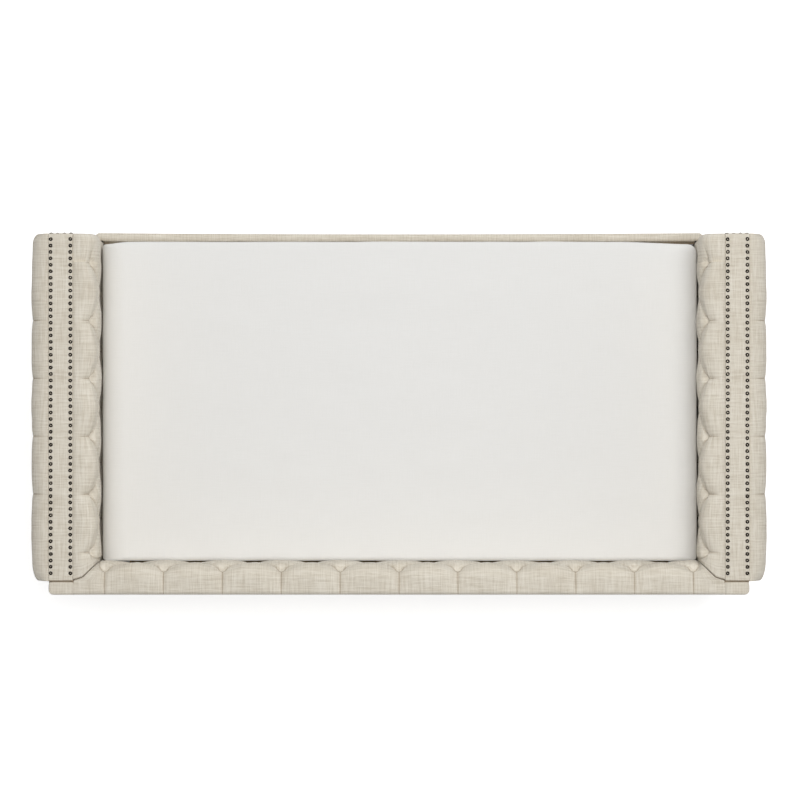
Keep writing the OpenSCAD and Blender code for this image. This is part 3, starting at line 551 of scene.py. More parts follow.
# Blocks of polyurethane foam fill out the tufting behind the buttons: one on the web of each arm and
# one along the back. They are cut from slab and glued on, with a slope under the pad's top.
foam_yellow = (0.80, 0.66, 0.36)
foam_deep = (0.66, 0.52, 0.26)
foam_rough = 0.95
foam_depth = 0.0008
foam_pore = 420.0
foam_edge = 0.003
foam_grid = 0.05
foam_slope = 1.7
back_slope_run = 0.010
arm_slope_run = 0.019


def squircle(offset, axes):
    """Rounds a block's corners: offsets from its inner box are pulled onto a circle or a sphere."""
    part = offset[:, axes]
    longest = np.abs(part).max(axis=1)
    length = np.linalg.norm(part, axis=1)
    pull = np.divide(longest, length, out=np.ones_like(length), where=length > 1e-9)
    offset[:, axes] = part * pull[:, None]
    return offset


def soft_block(name, low, high, r, cell, plan_r=0.0, crown=0.0):
    """A closed block with rounded edges, subdivided, whose faces have their flat size as pattern.

    A crown puffs out the side that faces along x, or against it where the crown is negative."""
    low, high = np.array(low, float), np.array(high, float)
    lines = []
    for a, b in zip(low, high):
        e = min(max(r, plan_r), (b - a) / 2.01)
        inner = max(1, round((b - a - 2 * e) / cell))
        ends = e * (1 - np.cos(np.linspace(0, np.pi / 2, 6)))[:-1]
        lines.append(np.concatenate([a + ends, np.linspace(a + e, b - e, inner + 1), b - ends[::-1]]))
    n = [len(line) - 1 for line in lines]
    index, points, faces, flat = {}, [], [], []

    def vertex(key):
        if key not in index:
            index[key] = len(points)
            points.append([lines[axis][key[axis]] for axis in range(3)])
        return index[key]

    for axis in range(3):
        u, v = (axis + 1) % 3, (axis + 2) % 3
        for end in (0, n[axis]):
            for i in range(n[u]):
                for j in range(n[v]):
                    corners = [(i, j), (i + 1, j), (i + 1, j + 1), (i, j + 1)]
                    keys = []
                    for a, b in corners if end else corners[::-1]:
                        key = [0, 0, 0]
                        key[axis], key[u], key[v] = end, a, b
                        keys.append(tuple(key))
                    faces.append([vertex(key) for key in keys])
                    flat += [(lines[u][key[u]], lines[v][key[v]]) for key in keys]
    p = np.array(points)
    middle, half = (low + high) / 2, (high - low) / 2
    share = (p - middle) / half
    for radius, axes in ((plan_r, [0, 1]), (r, [0, 1, 2])):
        if radius > 0:
            radii = np.minimum(radius, half * 0.99)
            inner_low, inner_high = low + radii, high - radii
            q = np.clip(p, inner_low, inner_high)
            offset = p - q
            offset[:, [a for a in range(3) if a not in axes]] = 0
            p = p - offset + squircle(offset.copy(), axes)
    if crown:
        rise = (1 - share[:, 1] ** 4) * (1 - share[:, 2] ** 4)
        p[:, 0] += crown * rise * (np.sign(crown) * share[:, 0] > 0.99)
    mesh = bpy.data.meshes.new(name)
    mesh.from_pydata(p.tolist(), [], faces)
    layer = mesh.uv_layers.new(name="flat_pattern")
    layer.data.foreach_set("uv", np.array(flat, np.float32).ravel())
    return mesh


foam = mottled("upholstery_foam", foam_deep, foam_yellow, foam_rough, foam_depth, (foam_pore, 4.0, 0.7),
               (0.35, 0.65))
for name in ("right_arm_foam", "left_arm_foam", "back_foam"):
    low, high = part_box(name)
    mesh = soft_block(name.replace("foam", "foam_slab"), low, high, foam_edge, foam_grid)
    across = 1 if name == "back_foam" else 0
    face = min(abs(low[across]), abs(high[across]))
    back = max(abs(low[across]), abs(high[across]))
    top = high[2] - (back_slope_run if name == "back_foam" else arm_slope_run)
    for vertex in mesh.vertices:
        climb = max(0.0, vertex.co.z - top)
        reach = min(face + climb * foam_slope, back)
        if abs(vertex.co[across]) < reach:
            vertex.co[across] = math.copysign(reach, vertex.co[across])
    piece = finish_piece(mesh, foam)
    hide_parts(name)


# The tufted pads. Wadding over foam is covered with linen, and covered buttons are pulled deep into it
# in four staggered rows, so that the cloth folds into diamonds with a pleat from button to button.
# Straight pleats run from the first row over the rounded top, and from the last row down to the hem.
cloth = linen("oatmeal_linen")
rows = 4
fit = 0.0003
steps = 24
row_gap = 0.088
row_drop = 0.020
row_out = 0.015
hem_back = 0.012
hem_back_k = 4.82
hem_foot = 0.002
tuft_height = 0.029
back_tuft_height = 0.027
pad_behind = 0.018
button_d = 0.025
dimple_share = 0.42
top_dimple_share = 0.26
top_button_drop = 0.10
shoulder_r = 0.024
row_stations = [0, 0.12, 0.3, 0.5, 0.75, 1, 1.25, 1.5, 1.75, 2, 3, 4, 5]
lobe_shares = [0.10, 0.29, 0.46, 0.62, 0.80, 0.84, 0.80, 0.76, 0.66, 0.50, 0.18, 0.30, 0.30]
diamond_shares = [0.10, 0.29, 0.46, 0.62, 0.80, 0.95, 0.96, 0.90, 0.76, 0.55, 0.18, 0.30, 0.30]
saddle_share = 0.60
lobe_power = 0.85
diamond_power = 0.55
slit_share = 0.018
crease_shade = 0.8
dimple_run = 0.40
seam_r = 0.008
seam_depth = 0.010
edge_r = 0.010
lump_share = 0.05
lump_cell = 0.06
wrinkle_height = 0.0008
wrinkle_cell = 0.022
wrinkle_from = 0.008
mitre_from = 0.19
lining_drop = 0.025
lining_top = 0.012
lining_cloth = 0.02

pad_low, pad_high = (np.array(corner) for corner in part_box("right_arm_tufting"))
back_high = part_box("back_tufting")[1]
z_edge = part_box("right_arm_plank")[1][2]
z_row = arm_top - row_drop
z_hem = pad_low[2]


def row_profile(shares, k):
    """The shares at the rows k, smoothed."""
    fine = np.linspace(0, rows + 1, 500)
    kernel = np.hanning(19) / np.hanning(19).sum()
    soft = np.convolve(np.pad(np.interp(fine, row_stations, shares), 9, mode="edge"), kernel, "valid")
    return np.interp(k, fine, soft)


def off_line(t):
    return np.abs(t - 2 * np.round(t / 2))


def swell(x, power):
    return np.sin(np.pi / 2 * np.clip(x, 0, 1)) ** power


def ease(x):
    x = np.clip(x, 0, 1)
    return x * x * (3 - 2 * x)


def soft_noise(u, v, cell, seed):
    """Smooth values from -1 to 1 that change over about one cell."""
    rng = np.random.default_rng(seed)
    grid = rng.uniform(-1, 1, (64, 64))
    x, y = u / cell, v / cell
    i, j = np.floor(x).astype(int), np.floor(y).astype(int)
    f, g = ease(x - i), ease(y - j)
    a, b = grid[i % 64, j % 64], grid[(i + 1) % 64, j % 64]
    c, d = grid[i % 64, (j + 1) % 64], grid[(i + 1) % 64, (j + 1) % 64]
    return (a * (1 - f) + b * f) * (1 - g) + (c * (1 - f) + d * f) * g


def base_curve(top_run, k):
    """The line that the buttons are pulled to, with its outward normals: (w, z) towards the seat and up."""
    k_rows = np.array([0, 1, 2, 3, 4, hem_back_k, 5])
    z_rows = z_row - (k_rows - 1) * row_gap
    z_rows[0], z_rows[-1] = z_edge, z_hem
    z_rows[-2] = z_rows[4] + (z_hem - z_rows[4]) * (hem_back_k - 4)
    w_rows = row_out - (row_out + hem_back) * (z_rows[2] - z_rows) / (z_rows[2] - z_hem)
    w_rows[:2] = -top_run, 0
    w_rows[-1] = -hem_foot
    w, z = np.interp(k, k_rows, w_rows), np.interp(k, k_rows, z_rows)
    run = math.hypot(top_run, z_edge - z_row)
    k0, k1 = 1 - shoulder_r / run, 1 + shoulder_r / row_gap
    start = np.array([np.interp(k0, k_rows, w_rows), np.interp(k0, k_rows, z_rows)])
    corner = np.array([0, z_row])
    end = np.array([np.interp(k1, k_rows, w_rows), np.interp(k1, k_rows, z_rows)])
    f = np.clip((k - k0) / (k1 - k0), 0, 1)
    bent = ((1 - f) ** 2)[:, None] * start + (2 * f * (1 - f))[:, None] * corner + (f ** 2)[:, None] * end
    inside = (k > k0) & (k < k1)
    w, z = np.where(inside, bent[:, 0], w), np.where(inside, bent[:, 1], z)
    dw, dz = np.gradient(w, k), np.gradient(z, k)
    angle = np.arctan2(dw, -dz)
    angle = angle * ease(k / 0.4) + np.pi / 2 * (1 - ease(k / 0.4))
    return w, z, np.cos(angle), np.sin(angle)


def tufting(t, k, phase, edge_power, fade_from, fade_run):
    """Shares of the tufting's height at half pitch t and row k, and how near each point is to a fold, as
    painted shade.
    """
    t, k = np.broadcast_arrays(t, k)
    r = np.clip(np.floor(k), 1, rows - 1)
    u, q = off_line(t + r + phase), k - r
    lobe = (k < 1) | ((k < 2) & (u > q))
    away = swell(np.abs(u - q), np.where(lobe, lobe_power, diamond_power))
    bulge = np.where(lobe, row_profile(lobe_shares, k), row_profile(diamond_shares, k))
    saddle = saddle_share * np.sin(np.pi * q) * row_profile(lobe_shares, k)
    height = saddle + (bulge - saddle) * away
    fold = crease_shade * (1 - np.clip(np.abs(u - q) * steps, 0, 1)) * (1 - np.sin(np.pi * q) ** 2)
    beside = off_line(t + 1 + phase)
    power = np.interp(k, [0, 1], [edge_power, diamond_power])
    deep = ease((k - fade_from) / fade_run)
    height = np.where(k < 1, bulge * (1 - (1 - swell(beside, power)) * deep), height)
    fold = np.where(k < 1, crease_shade * (1 - np.clip(beside / slit_share, 0, 1)) * deep, fold)
    below = off_line(t + rows + phase)
    height = np.where(k > rows, bulge * swell(below, diamond_power), height)
    fold = np.where(k > rows, 1 - np.clip(below / slit_share, 0, 1), fold)
    return height, fold


def dimples(t, k, pitch, buttons):
    """How much the buttons pull the cloth in, from 1 at their rims to 0 away from them."""
    pull = np.zeros(np.broadcast(t, k).shape)
    for bt, bk in buttons:
        near = np.hypot((t - bt) * pitch, (k - bk - top_button_drop * (bk == 1)) * row_gap)
        flat = (top_dimple_share if bk == 1 else dimple_share) * button_d
        pull = np.maximum(pull, 1 - ease((near - flat) / (dimple_run * button_d)))
    return pull


def puffed(share, u, v, height, seed):
    """The linen's height over its base line, a little lumpy and wrinkled as wadding makes it."""
    lift = share * height
    lift = lift * (1 + lump_share * soft_noise(u, v, lump_cell, seed))
    return lift + wrinkle_height * soft_noise(u, v, wrinkle_cell, seed + 2) * ease(lift / wrinkle_from)


def hemmed(lift, k):
    """Draws a pad in to its hem."""
    above = (rows + 1 - k) * (z_row - (rows - 1) * row_gap - z_hem)
    return lift * np.sqrt(1 - (1 - np.clip(above / edge_r, 0, 1)) ** 2)


def cloth_across(w, z, more):
    """Distances along the pad's section, with a few steps more for its lining."""
    length = np.concatenate([[0], np.cumsum(np.hypot(np.diff(w), np.diff(z)))])
    return np.concatenate([length, length[-1] + lining_cloth * np.arange(1, more + 1)])


def loft(name, columns, pattern, fold=None):
    """A closed skin round the loops in columns, with pattern as its flat cloth coordinates.

    Where fold is given, the skin's quads are split along the folds."""
    nj, ns = columns.shape[:2]
    grid = np.arange(nj * ns).reshape(nj, ns)
    a, b = grid[:-1], grid[1:]
    a2, b2 = np.roll(a, -1, axis=1), np.roll(b, -1, axis=1)
    quads = np.stack([a, a2, b2, b], axis=-1).reshape(-1, 4)
    if fold is not None:
        slit = fold.ravel()
        turned = slit[quads[:, 0]] + slit[quads[:, 2]] < slit[quads[:, 1]] + slit[quads[:, 3]]
        quads[turned] = np.roll(quads[turned], -1, axis=1)
    faces = quads.tolist() + [grid[0][::-1].tolist(), grid[-1].tolist()]
    mesh = bpy.data.meshes.new(name)
    mesh.from_pydata(columns.reshape(-1, 3).tolist(), [], faces)
    loops = np.empty(len(mesh.loops), int)
    mesh.loops.foreach_get("vertex_index", loops)
    layer = mesh.uv_layers.new(name="flat_pattern")
    layer.data.foreach_set("uv", pattern.reshape(-1, 2)[loops].astype(np.float32).ravel())
    if fold is not None:
        marks = mesh.attributes.new("fold", "FLOAT", "POINT")
        marks.data.foreach_set("value", slit.astype(np.float32))
    return mesh


lining = [[-pad_behind, z_hem], [-pad_behind, z_row - 2 * row_gap], [-pad_behind, z_row - lining_drop]]
arm_front = pad_low[1]
arm_top_run = 0.0465
x_row = pad_high[0] - arm_top_run
arm_halves = 12
arm_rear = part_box("right_arm_plank")[1][1]
half_pitch = (arm_rear - arm_front) / arm_halves
back_row_in = 0.068
y_row = back_high[1] - back_row_in
end_r = 0.028
end_share = 0.5
mitre_share = 0.8
row_top_share = 0.59
first_lobe_fade = (0.55, 0.40)
arm_lobe_fade = (0.12, 0.75)
arm_seed = 3
front_steps = 14
front_cloth = 0.06
lining_in = 0.006
knee = (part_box("back_web")[0][1] - y_row - pad_behind) / (arm_top_run - pad_behind)


def mitre_arm(w):
    return np.where(w >= -pad_behind, -w, pad_behind - (w + pad_behind) * knee)


def mitre_back(w):
    return np.where(w >= -pad_behind, -w, np.minimum(pad_behind - (w + pad_behind) / knee, arm_top_run))


def arm_buttons():
    return [(t, r) for r in range(1, rows + 1) for t in range(1, arm_halves) if (t + r) % 2 == 0]


def seamed(lift, away):
    """Rolls a pad's edge down along the seam of a mitre."""
    near = np.clip(1 - away / seam_r, 0, 1)
    return lift - seam_depth * (1 - np.sqrt(1 - near ** 2))


def front_edge(t, k, share, fold):
    """Opens an arm's first half pitch to the front, where only the folds from its first buttons run."""
    ahead = np.minimum(np.abs(k - 1), np.abs(k - 3))
    ahead = np.where(k < 1, np.minimum(1 - np.clip(t, 0, 1), (1 - k) * row_top_share), ahead)
    open_end = 1 - (1 - swell(ahead, diamond_power)) * ease((t - 0.2) / 0.8)
    share = np.where(t < 1, open_end * row_profile(lobe_shares, k), share)
    crease = (1 - np.clip(ahead * steps, 0, 1)) * ease((t - 0.4) / 0.6) * (k >= 1)
    return share, np.where(t < 1, crease, fold)


def arm_lift(t, k):
    """How far an arm's linen stands off its base line, and the painted shade in its folds and along its
    mitre.
    """
    fades = [np.where(t < 2, first, rest) for first, rest in zip(first_lobe_fade, arm_lobe_fade)]
    share, fold = front_edge(t, k, *tufting(t, k, 0, diamond_power, *fades))
    toward = ease(t - (arm_halves - 1))
    share = share * (1 - toward) + mitre_share * row_profile(lobe_shares, k) * toward
    fold = np.maximum(fold * (1 - toward), t >= arm_halves - 0.01)
    share = share * (1 - dimples(t, k, half_pitch, arm_buttons()))
    lift = puffed(share, t * half_pitch, k * row_gap, tuft_height, arm_seed)
    near = np.clip(t * half_pitch / end_r, 0, 1)
    full = end_share + (1 - end_share) * np.sqrt(np.clip(1 - (1 - near) ** 2, 0, 1))
    lift = (pad_behind - 2 * fit + lift) * full - (pad_behind - 2 * fit)
    return seamed(hemmed(lift, k), (arm_halves - t) * half_pitch), fold


def arm_pad():
    """The right arm's pad: its columns of points, their places on the flat cloth and the painted shade of its
    folds.
    """
    ks = np.linspace(0, rows + 1, (rows + 1) * steps + 1)
    w, z, nw, nz = base_curve(arm_top_run, ks)
    near = end_r / half_pitch * (1 - np.cos(np.linspace(0, np.pi / 2, 9)[:-1]))
    beside = np.arange(1, arm_halves)[:, None] + slit_share * np.array([-1, 1])
    ts = np.arange(math.ceil(near[-1] * steps) + 1, arm_halves * steps + 1) / steps
    ts = np.concatenate([near, np.sort(np.concatenate([ts, beside.ravel()]))])
    t, k = ts[:, None], ks[None, :]
    lift, fold = arm_lift(t, k)
    pw = np.maximum(w[None, :] + nw[None, :] * lift, -arm_top_run)
    pz = z[None, :] + nz[None, :] * lift
    whole = arm_halves - 1 + mitre_from
    y_last = arm_front + whole * half_pitch

    def along(w_at):
        target = y_row + mitre_arm(w_at) - fit
        out = y_last + (target - y_last) * (t - whole) / (arm_halves - whole)
        return np.where(t <= whole, arm_front + t * half_pitch, out)

    outer = np.stack([x_row - pw, along(pw), pz], axis=-1)
    backs = np.array([*lining, [-arm_top_run, z_edge - lining_top]])
    y_lining = arm_front + lining_in - fit
    by = np.maximum(along(backs[None, :, 0]), y_lining)
    inner = np.stack(np.broadcast_arrays(x_row - backs[:, 0], by, backs[:, 1]), axis=-1)
    body = np.concatenate([outer, inner], axis=1)
    edge = body[:1].copy()
    edge[:, :, 0] = pad_high[0]
    edge[:, len(ks):, 1] = y_lining
    f = (np.arange(front_steps) / front_steps)[:, None, None]
    front = edge * (1 - f) + body[:1] * f
    fold = np.pad(np.asarray(fold, float), ((front_steps, 0), (0, len(backs))))
    front_along = (arm_front - front_cloth) + front_cloth * np.arange(front_steps) / front_steps
    cloth_along = np.concatenate([front_along, arm_front + ts * half_pitch])
    across = cloth_across(w, z, len(backs))
    pattern = np.stack(np.broadcast_arrays(across[None, :], cloth_along[:, None]), axis=-1)
    return np.concatenate([front, body]), pattern, fold


def mirrored(columns):
    return columns * (-1, 1, 1)


columns, pattern, fold = arm_pad()
for side in ("right", "left"):
    shape = columns if side == "right" else mirrored(columns)
    piece = finish_piece(loft(f"{side}_arm_diamond_pad", shape, pattern, fold), cloth)
    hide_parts(f"{side}_arm_tufting")


# The back's tufted pad is made in the same way, the whole width of the bed, and meets the pads of the
# arms in a mitre at each corner. Its top runs back over the frame to the rear edge.
back_halves = 11
back_half_pitch = 0.0902
back_top_run = 0.071
cap_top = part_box("back_end_caps")[1][2]
cap_row = 0.48
cap_row_run = 0.2
cap_seam_run = 0.15
back_edge_power = 0.22
back_lobe_fade = (-0.3, 0.3)
back_seed = 11


def back_buttons():
    return [(t, r) for r in range(1, rows + 1) for t in range(1 - back_halves, back_halves) if (t + r) % 2]


def back_lift(t, k, z, nz):
    """How far the back's linen stands off its base line, and the painted shade in its folds and along its
    mitres.
    """
    share, fold = tufting(t, k, 1, back_edge_power, *back_lobe_fade)
    toward = ease(np.abs(t) - (back_halves - 1))
    share = share * (1 - toward) + mitre_share * row_profile(lobe_shares, k) * toward
    fold = np.maximum(fold * (1 - toward), (np.abs(t) >= back_halves - 0.01) & (k > cap_row))
    share = share * (1 - dimples(t, k, back_half_pitch, back_buttons()))
    lift = puffed(share, t * back_half_pitch, k * row_gap, back_tuft_height, back_seed)
    level_lift = np.maximum((cap_top - z) / np.maximum(nz, 0.5), 0)
    by_cap = toward * (1 - ease((k - cap_row) / cap_row_run))
    lift = hemmed(lift * (1 - by_cap) + level_lift * by_cap, k)
    seam = seamed(lift, (back_halves - np.abs(t)) * back_half_pitch)
    return lift + (seam - lift) * ease((k - cap_row) / cap_seam_run), fold


def back_pad():
    """The back's pad: its columns of points, their places on the flat cloth and the painted shade of its
    folds.
    """
    ks = np.linspace(0, rows + 1, (rows + 1) * steps + 1)
    w, z, nw, nz = base_curve(back_top_run, ks)
    beside = np.arange(1 - back_halves, back_halves)[:, None] + slit_share * np.array([-1, 1])
    ts = np.sort(np.append(np.arange(-back_halves * steps, back_halves * steps + 1) / steps, beside))
    t, k = ts[:, None], ks[None, :]
    lift, fold = back_lift(t, k, z[None, :], nz[None, :])
    edge = np.clip(k * back_top_run / edge_r, 0, 1)
    pw = np.maximum(w[None, :] + nw[None, :] * lift, -back_top_run)
    pz = z[None, :] + nz[None, :] * lift - edge_r * (1 - np.sqrt(1 - (1 - edge) ** 2))
    whole = back_halves - 1 + mitre_from

    def along(w_at):
        x_last = whole * back_half_pitch
        target = x_row + mitre_back(w_at) - fit
        out = x_last + (target - x_last) * (np.abs(t) - whole) / (back_halves - whole)
        return np.sign(t) * np.where(np.abs(t) <= whole, np.abs(t) * back_half_pitch, out)

    outer = np.stack([along(pw), y_row - pw, pz], axis=-1)
    y_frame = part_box("back_posts")[0][1]
    z_lining = z_edge - lining_top
    backs = np.array([*lining, [y_row - y_frame, z_lining], [-back_top_run, z_lining]])
    inner = np.stack(np.broadcast_arrays(along(backs[None, :, 0]), y_row - backs[None, :, 0],
                                         backs[None, :, 1]), axis=-1)
    across = cloth_across(w, z, len(backs))
    pattern = np.stack(np.broadcast_arrays(ts[:, None] * back_half_pitch, across[None, :]), axis=-1)
    fold = np.pad(np.asarray(fold, float), ((0, 0), (0, len(backs))))
    return np.concatenate([outer, inner], axis=1), pattern, fold


columns, pattern, fold = back_pad()
piece = finish_piece(loft("back_diamond_pad", columns, pattern, fold), cloth)
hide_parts("back_tufting")


# Eighty-six covered buttons: a metal shell under the same linen, on a twine that is drawn through the
# foam and tied off behind the web. Each is set down in the bottom of its dimple.
button_h = 0.007
button_sink = 0.003
top_button_sink = 0.0085
button_shade = [0.96, 0.92, 0.84, 0.74, 0.66, 0.62, 0.60]
button_sides = 16
button_tilt = 0.06
button_growth = 0.02
button_shift = 0.0008
button_seed = 4
aim_drops = 3
aim_step = 0.02
button_profile = [(0.30, 0.0), (0.96, 0.10), (1.0, 0.28), (0.93, 0.52), (0.72, 0.78), (0.40, 0.95),
                  (0.14, 1.0)]


def turned_solid(name, profile, sides, width, height):
    """A small turned shape that stands on its own origin, with a closed foot and top."""
    turn = np.arange(sides) / sides * 2 * math.pi
    points = [(r * width / 2 * math.cos(a), r * width / 2 * math.sin(a), h * height)
              for r, h in profile for a in turn]
    faces = [(i * sides + j, i * sides + (j + 1) % sides, (i + 1) * sides + (j + 1) % sides,
              (i + 1) * sides + j) for i in range(len(profile) - 1) for j in range(sides)]
    faces.append([j for j in reversed(range(sides))])
    faces.append([(len(profile) - 1) * sides + j for j in range(sides)])
    mesh = bpy.data.meshes.new(name)
    mesh.from_pydata(points, [], faces)
    layer = mesh.uv_layers.new(name="flat_pattern")
    flat = [c for loop in mesh.loops for c in mesh.vertices[loop.vertex_index].co[:2]]
    layer.data.foreach_set("uv", flat)
    mesh.polygons.foreach_set("use_smooth", [True] * len(mesh.polygons))
    return mesh


def spread(name, shape, places, aims, material, tilt, growth, shift, seed):
    """Sets a copy of shape at every place, aimed along its own direction, each a little different."""
    points = bpy.data.meshes.new(name + "_places")
    points.from_pydata([tuple(p) for p in places], [], [])
    aim = points.attributes.new("aim", "FLOAT_VECTOR", "POINT")
    aim.data.foreach_set("vector", np.array(aims, np.float32).ravel())
    holder = bpy.data.objects.new(name + "_places", points)
    source = bpy.data.objects.new(name + "_shape", shape)
    for made in (holder, source):
        bpy.context.collection.objects.link(made)
    group = bpy.data.node_groups.new(name, "GeometryNodeTree")
    ports = {}
    for label, kind in (("Places", "NodeSocketGeometry"), ("Shape", "NodeSocketObject"),
                        ("Tilt", "NodeSocketFloat"), ("Growth", "NodeSocketFloat"),
                        ("Shift", "NodeSocketFloat"), ("Seed", "NodeSocketInt"),
                        ("Finish", "NodeSocketMaterial")):
        ports[label] = group.interface.new_socket(label, in_out="INPUT", socket_type=kind).identifier
    group.interface.new_socket("Pieces", in_out="OUTPUT", socket_type="NodeSocketGeometry")
    start, end = node(group, "NodeGroupInput"), node(group, "NodeGroupOutput")
    info = node(group, "GeometryNodeObjectInfo")
    wire(group, start, "Shape", info, "Object")

    def random_vector(offset, scale_port):
        made = node(group, "FunctionNodeRandomValue", data_type="FLOAT_VECTOR")
        made.inputs[0].default_value = (-1, -1, -1)
        made.inputs[1].default_value = (1, 1, 1)
        plus = node(group, "ShaderNodeMath", operation="ADD")
        plus.inputs[1].default_value = offset
        wire(group, start, "Seed", plus, 0)
        wire(group, plus, 0, made, "Seed")
        scaled = node(group, "ShaderNodeVectorMath", operation="SCALE")
        wire(group, made, 0, scaled, 0)
        wire(group, start, scale_port, scaled, "Scale")
        return scaled

    moved = node(group, "GeometryNodeSetPosition")
    wire(group, start, "Places", moved, "Geometry")
    wire(group, random_vector(1, "Shift"), 0, moved, "Offset")
    named = node(group, "GeometryNodeInputNamedAttribute", data_type="FLOAT_VECTOR")
    named.inputs["Name"].default_value = "aim"
    leaning = node(group, "ShaderNodeVectorMath", operation="ADD")
    wire(group, named, "Attribute", leaning, 0)
    wire(group, random_vector(2, "Tilt"), 0, leaning, 1)
    turn = node(group, "FunctionNodeAlignRotationToVector", axis="Z")
    wire(group, leaning, 0, turn, "Vector")
    sized = node(group, "ShaderNodeVectorMath", operation="ADD")
    sized.inputs[1].default_value = (1, 1, 1)
    wire(group, random_vector(3, "Growth"), 0, sized, 0)
    put = node(group, "GeometryNodeInstanceOnPoints")
    wire(group, moved, 0, put, "Points")
    wire(group, info, "Geometry", put, "Instance")
    wire(group, turn, 0, put, "Rotation")
    wire(group, sized, 0, put, "Scale")
    real = node(group, "GeometryNodeRealizeInstances")
    wire(group, put, 0, real, 0)
    painted = node(group, "GeometryNodeSetMaterial")
    wire(group, real, 0, painted, 0)
    wire(group, start, "Finish", painted, "Material")
    wire(group, painted, 0, end, 0)
    modifier = holder.modifiers.new(name, "NODES")
    modifier.node_group = group
    for label, value in (("Shape", source), ("Tilt", tilt), ("Growth", growth), ("Shift", shift),
                         ("Seed", seed), ("Finish", material)):
        modifier[ports[label]] = value
    found = holder.evaluated_get(bpy.context.evaluated_depsgraph_get())
    mesh = bpy.data.meshes.new_from_object(found)
    mesh.name = name
    for made in (holder, source):
        bpy.data.objects.remove(made)
    return finish_piece(mesh, material)


def seat_of(top_run, r):
    """Where a button of row r is drawn to, and which way it faces: (w, z) and (outwards, up)."""
    drop, sink = (top_button_drop, top_button_sink) if r == 1 else (0.0, button_sink)
    aim = aim_drops * drop
    w, z, nw, nz = base_curve(top_run, r + np.array([drop - aim_step, drop, aim, aim + aim_step]))
    return (w[1] - sink * nw[1], z[1] - sink * nz[1]), (nw[2], nz[2])


def arm_button_places(sign):
    places, aims = [], []
    for t, r in arm_buttons():
        (w, z), (nw, nz) = seat_of(arm_top_run, r)
        places.append((sign * (x_row - w), arm_front + t * half_pitch, z))
        aims.append((-sign * nw, 0, nz))
    return places, aims


def back_button_places():
    places, aims = [], []
    for t, r in back_buttons():
        (w, z), (nw, nz) = seat_of(back_top_run, r)
        places.append((t * back_half_pitch, y_row - w, z))
        aims.append((0, -nw, nz))
    return places, aims


button = turned_solid("button", button_profile, button_sides, button_d, button_h)
# Painted shade: the buttons' colour is darkened through the linen's fold attribute, most at the rim, as in
# the shade of their dimples.
shade = button.attributes.new("fold", "FLOAT", "POINT")
shade.data.foreach_set("value", np.repeat(button_shade, button_sides))
for name, (places, aims) in (("right_arm_buttons", arm_button_places(1)),
                             ("left_arm_buttons", arm_button_places(-1)),
                             ("back_buttons", back_button_places())):
    piece = spread(name.replace("_buttons", "_covered_buttons"), button, places, aims, cloth,
                   button_tilt, button_growth, button_shift, button_seed)
    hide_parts(name)


# The outer roll of each arm is a half tube of wadding under pleated linen, stapled along the top of the
# plank, drawn round a rounded core and pulled under it. Its ends are gathered shut over the core.
roll_r = 0.052
flute = 0.006
core_reach = 0.0305
near_r = 0.028
far_r = 0.050
roll_end_share = 0.25
gather_turns = (50, 82)
# Painted shade darkens the linen in the slits of the pleats, least near the top of the roll.
slit_half = 0.0022
slit_turns = (-40, 40, 75)
slit_shades = (1, 0.9, 0.2)
flute_turns = (-92, -40, 40, 75, 90)
flute_depths = (0.5, 0.9, 1, 0.55, 0.12)
flute_power = 0.45
front_halves = 2.4
rear_halves = 1.6
end_power = 0.8
end_bulges = [(0.001, 0), (0.3, -0.0006), (0.65, -0.0004), (0.9, -0.0001)]
end_cloth = 0.03 * np.array([1, 0.7, 0.35, 0.1])
core_cloth = 0.2
core_clear = 0.002
core_ends = (0.0057, 0.006)
roll_wrinkle = 0.0007
roll_wrinkle_cell = 0.03
roll_seed = 21
roll_stations = 250
roll_turns, core_turns = 46, 13
roll_low, roll_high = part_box("right_arm_roll")
z_roll = 0.787
x_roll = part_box("right_arm_band")[1][0] + fit


def gathered(d, r):
    """How full the roll is at a distance d from an end that is rounded over r."""
    return roll_end_share + (1 - roll_end_share) * np.sqrt(1 - (1 - np.clip(d / r, 0, 1)) ** 2)


def ring(r, angle, at):
    return np.stack(np.broadcast_arrays(x_roll + r * np.cos(angle), at, z_roll + r * np.sin(angle)), -1)


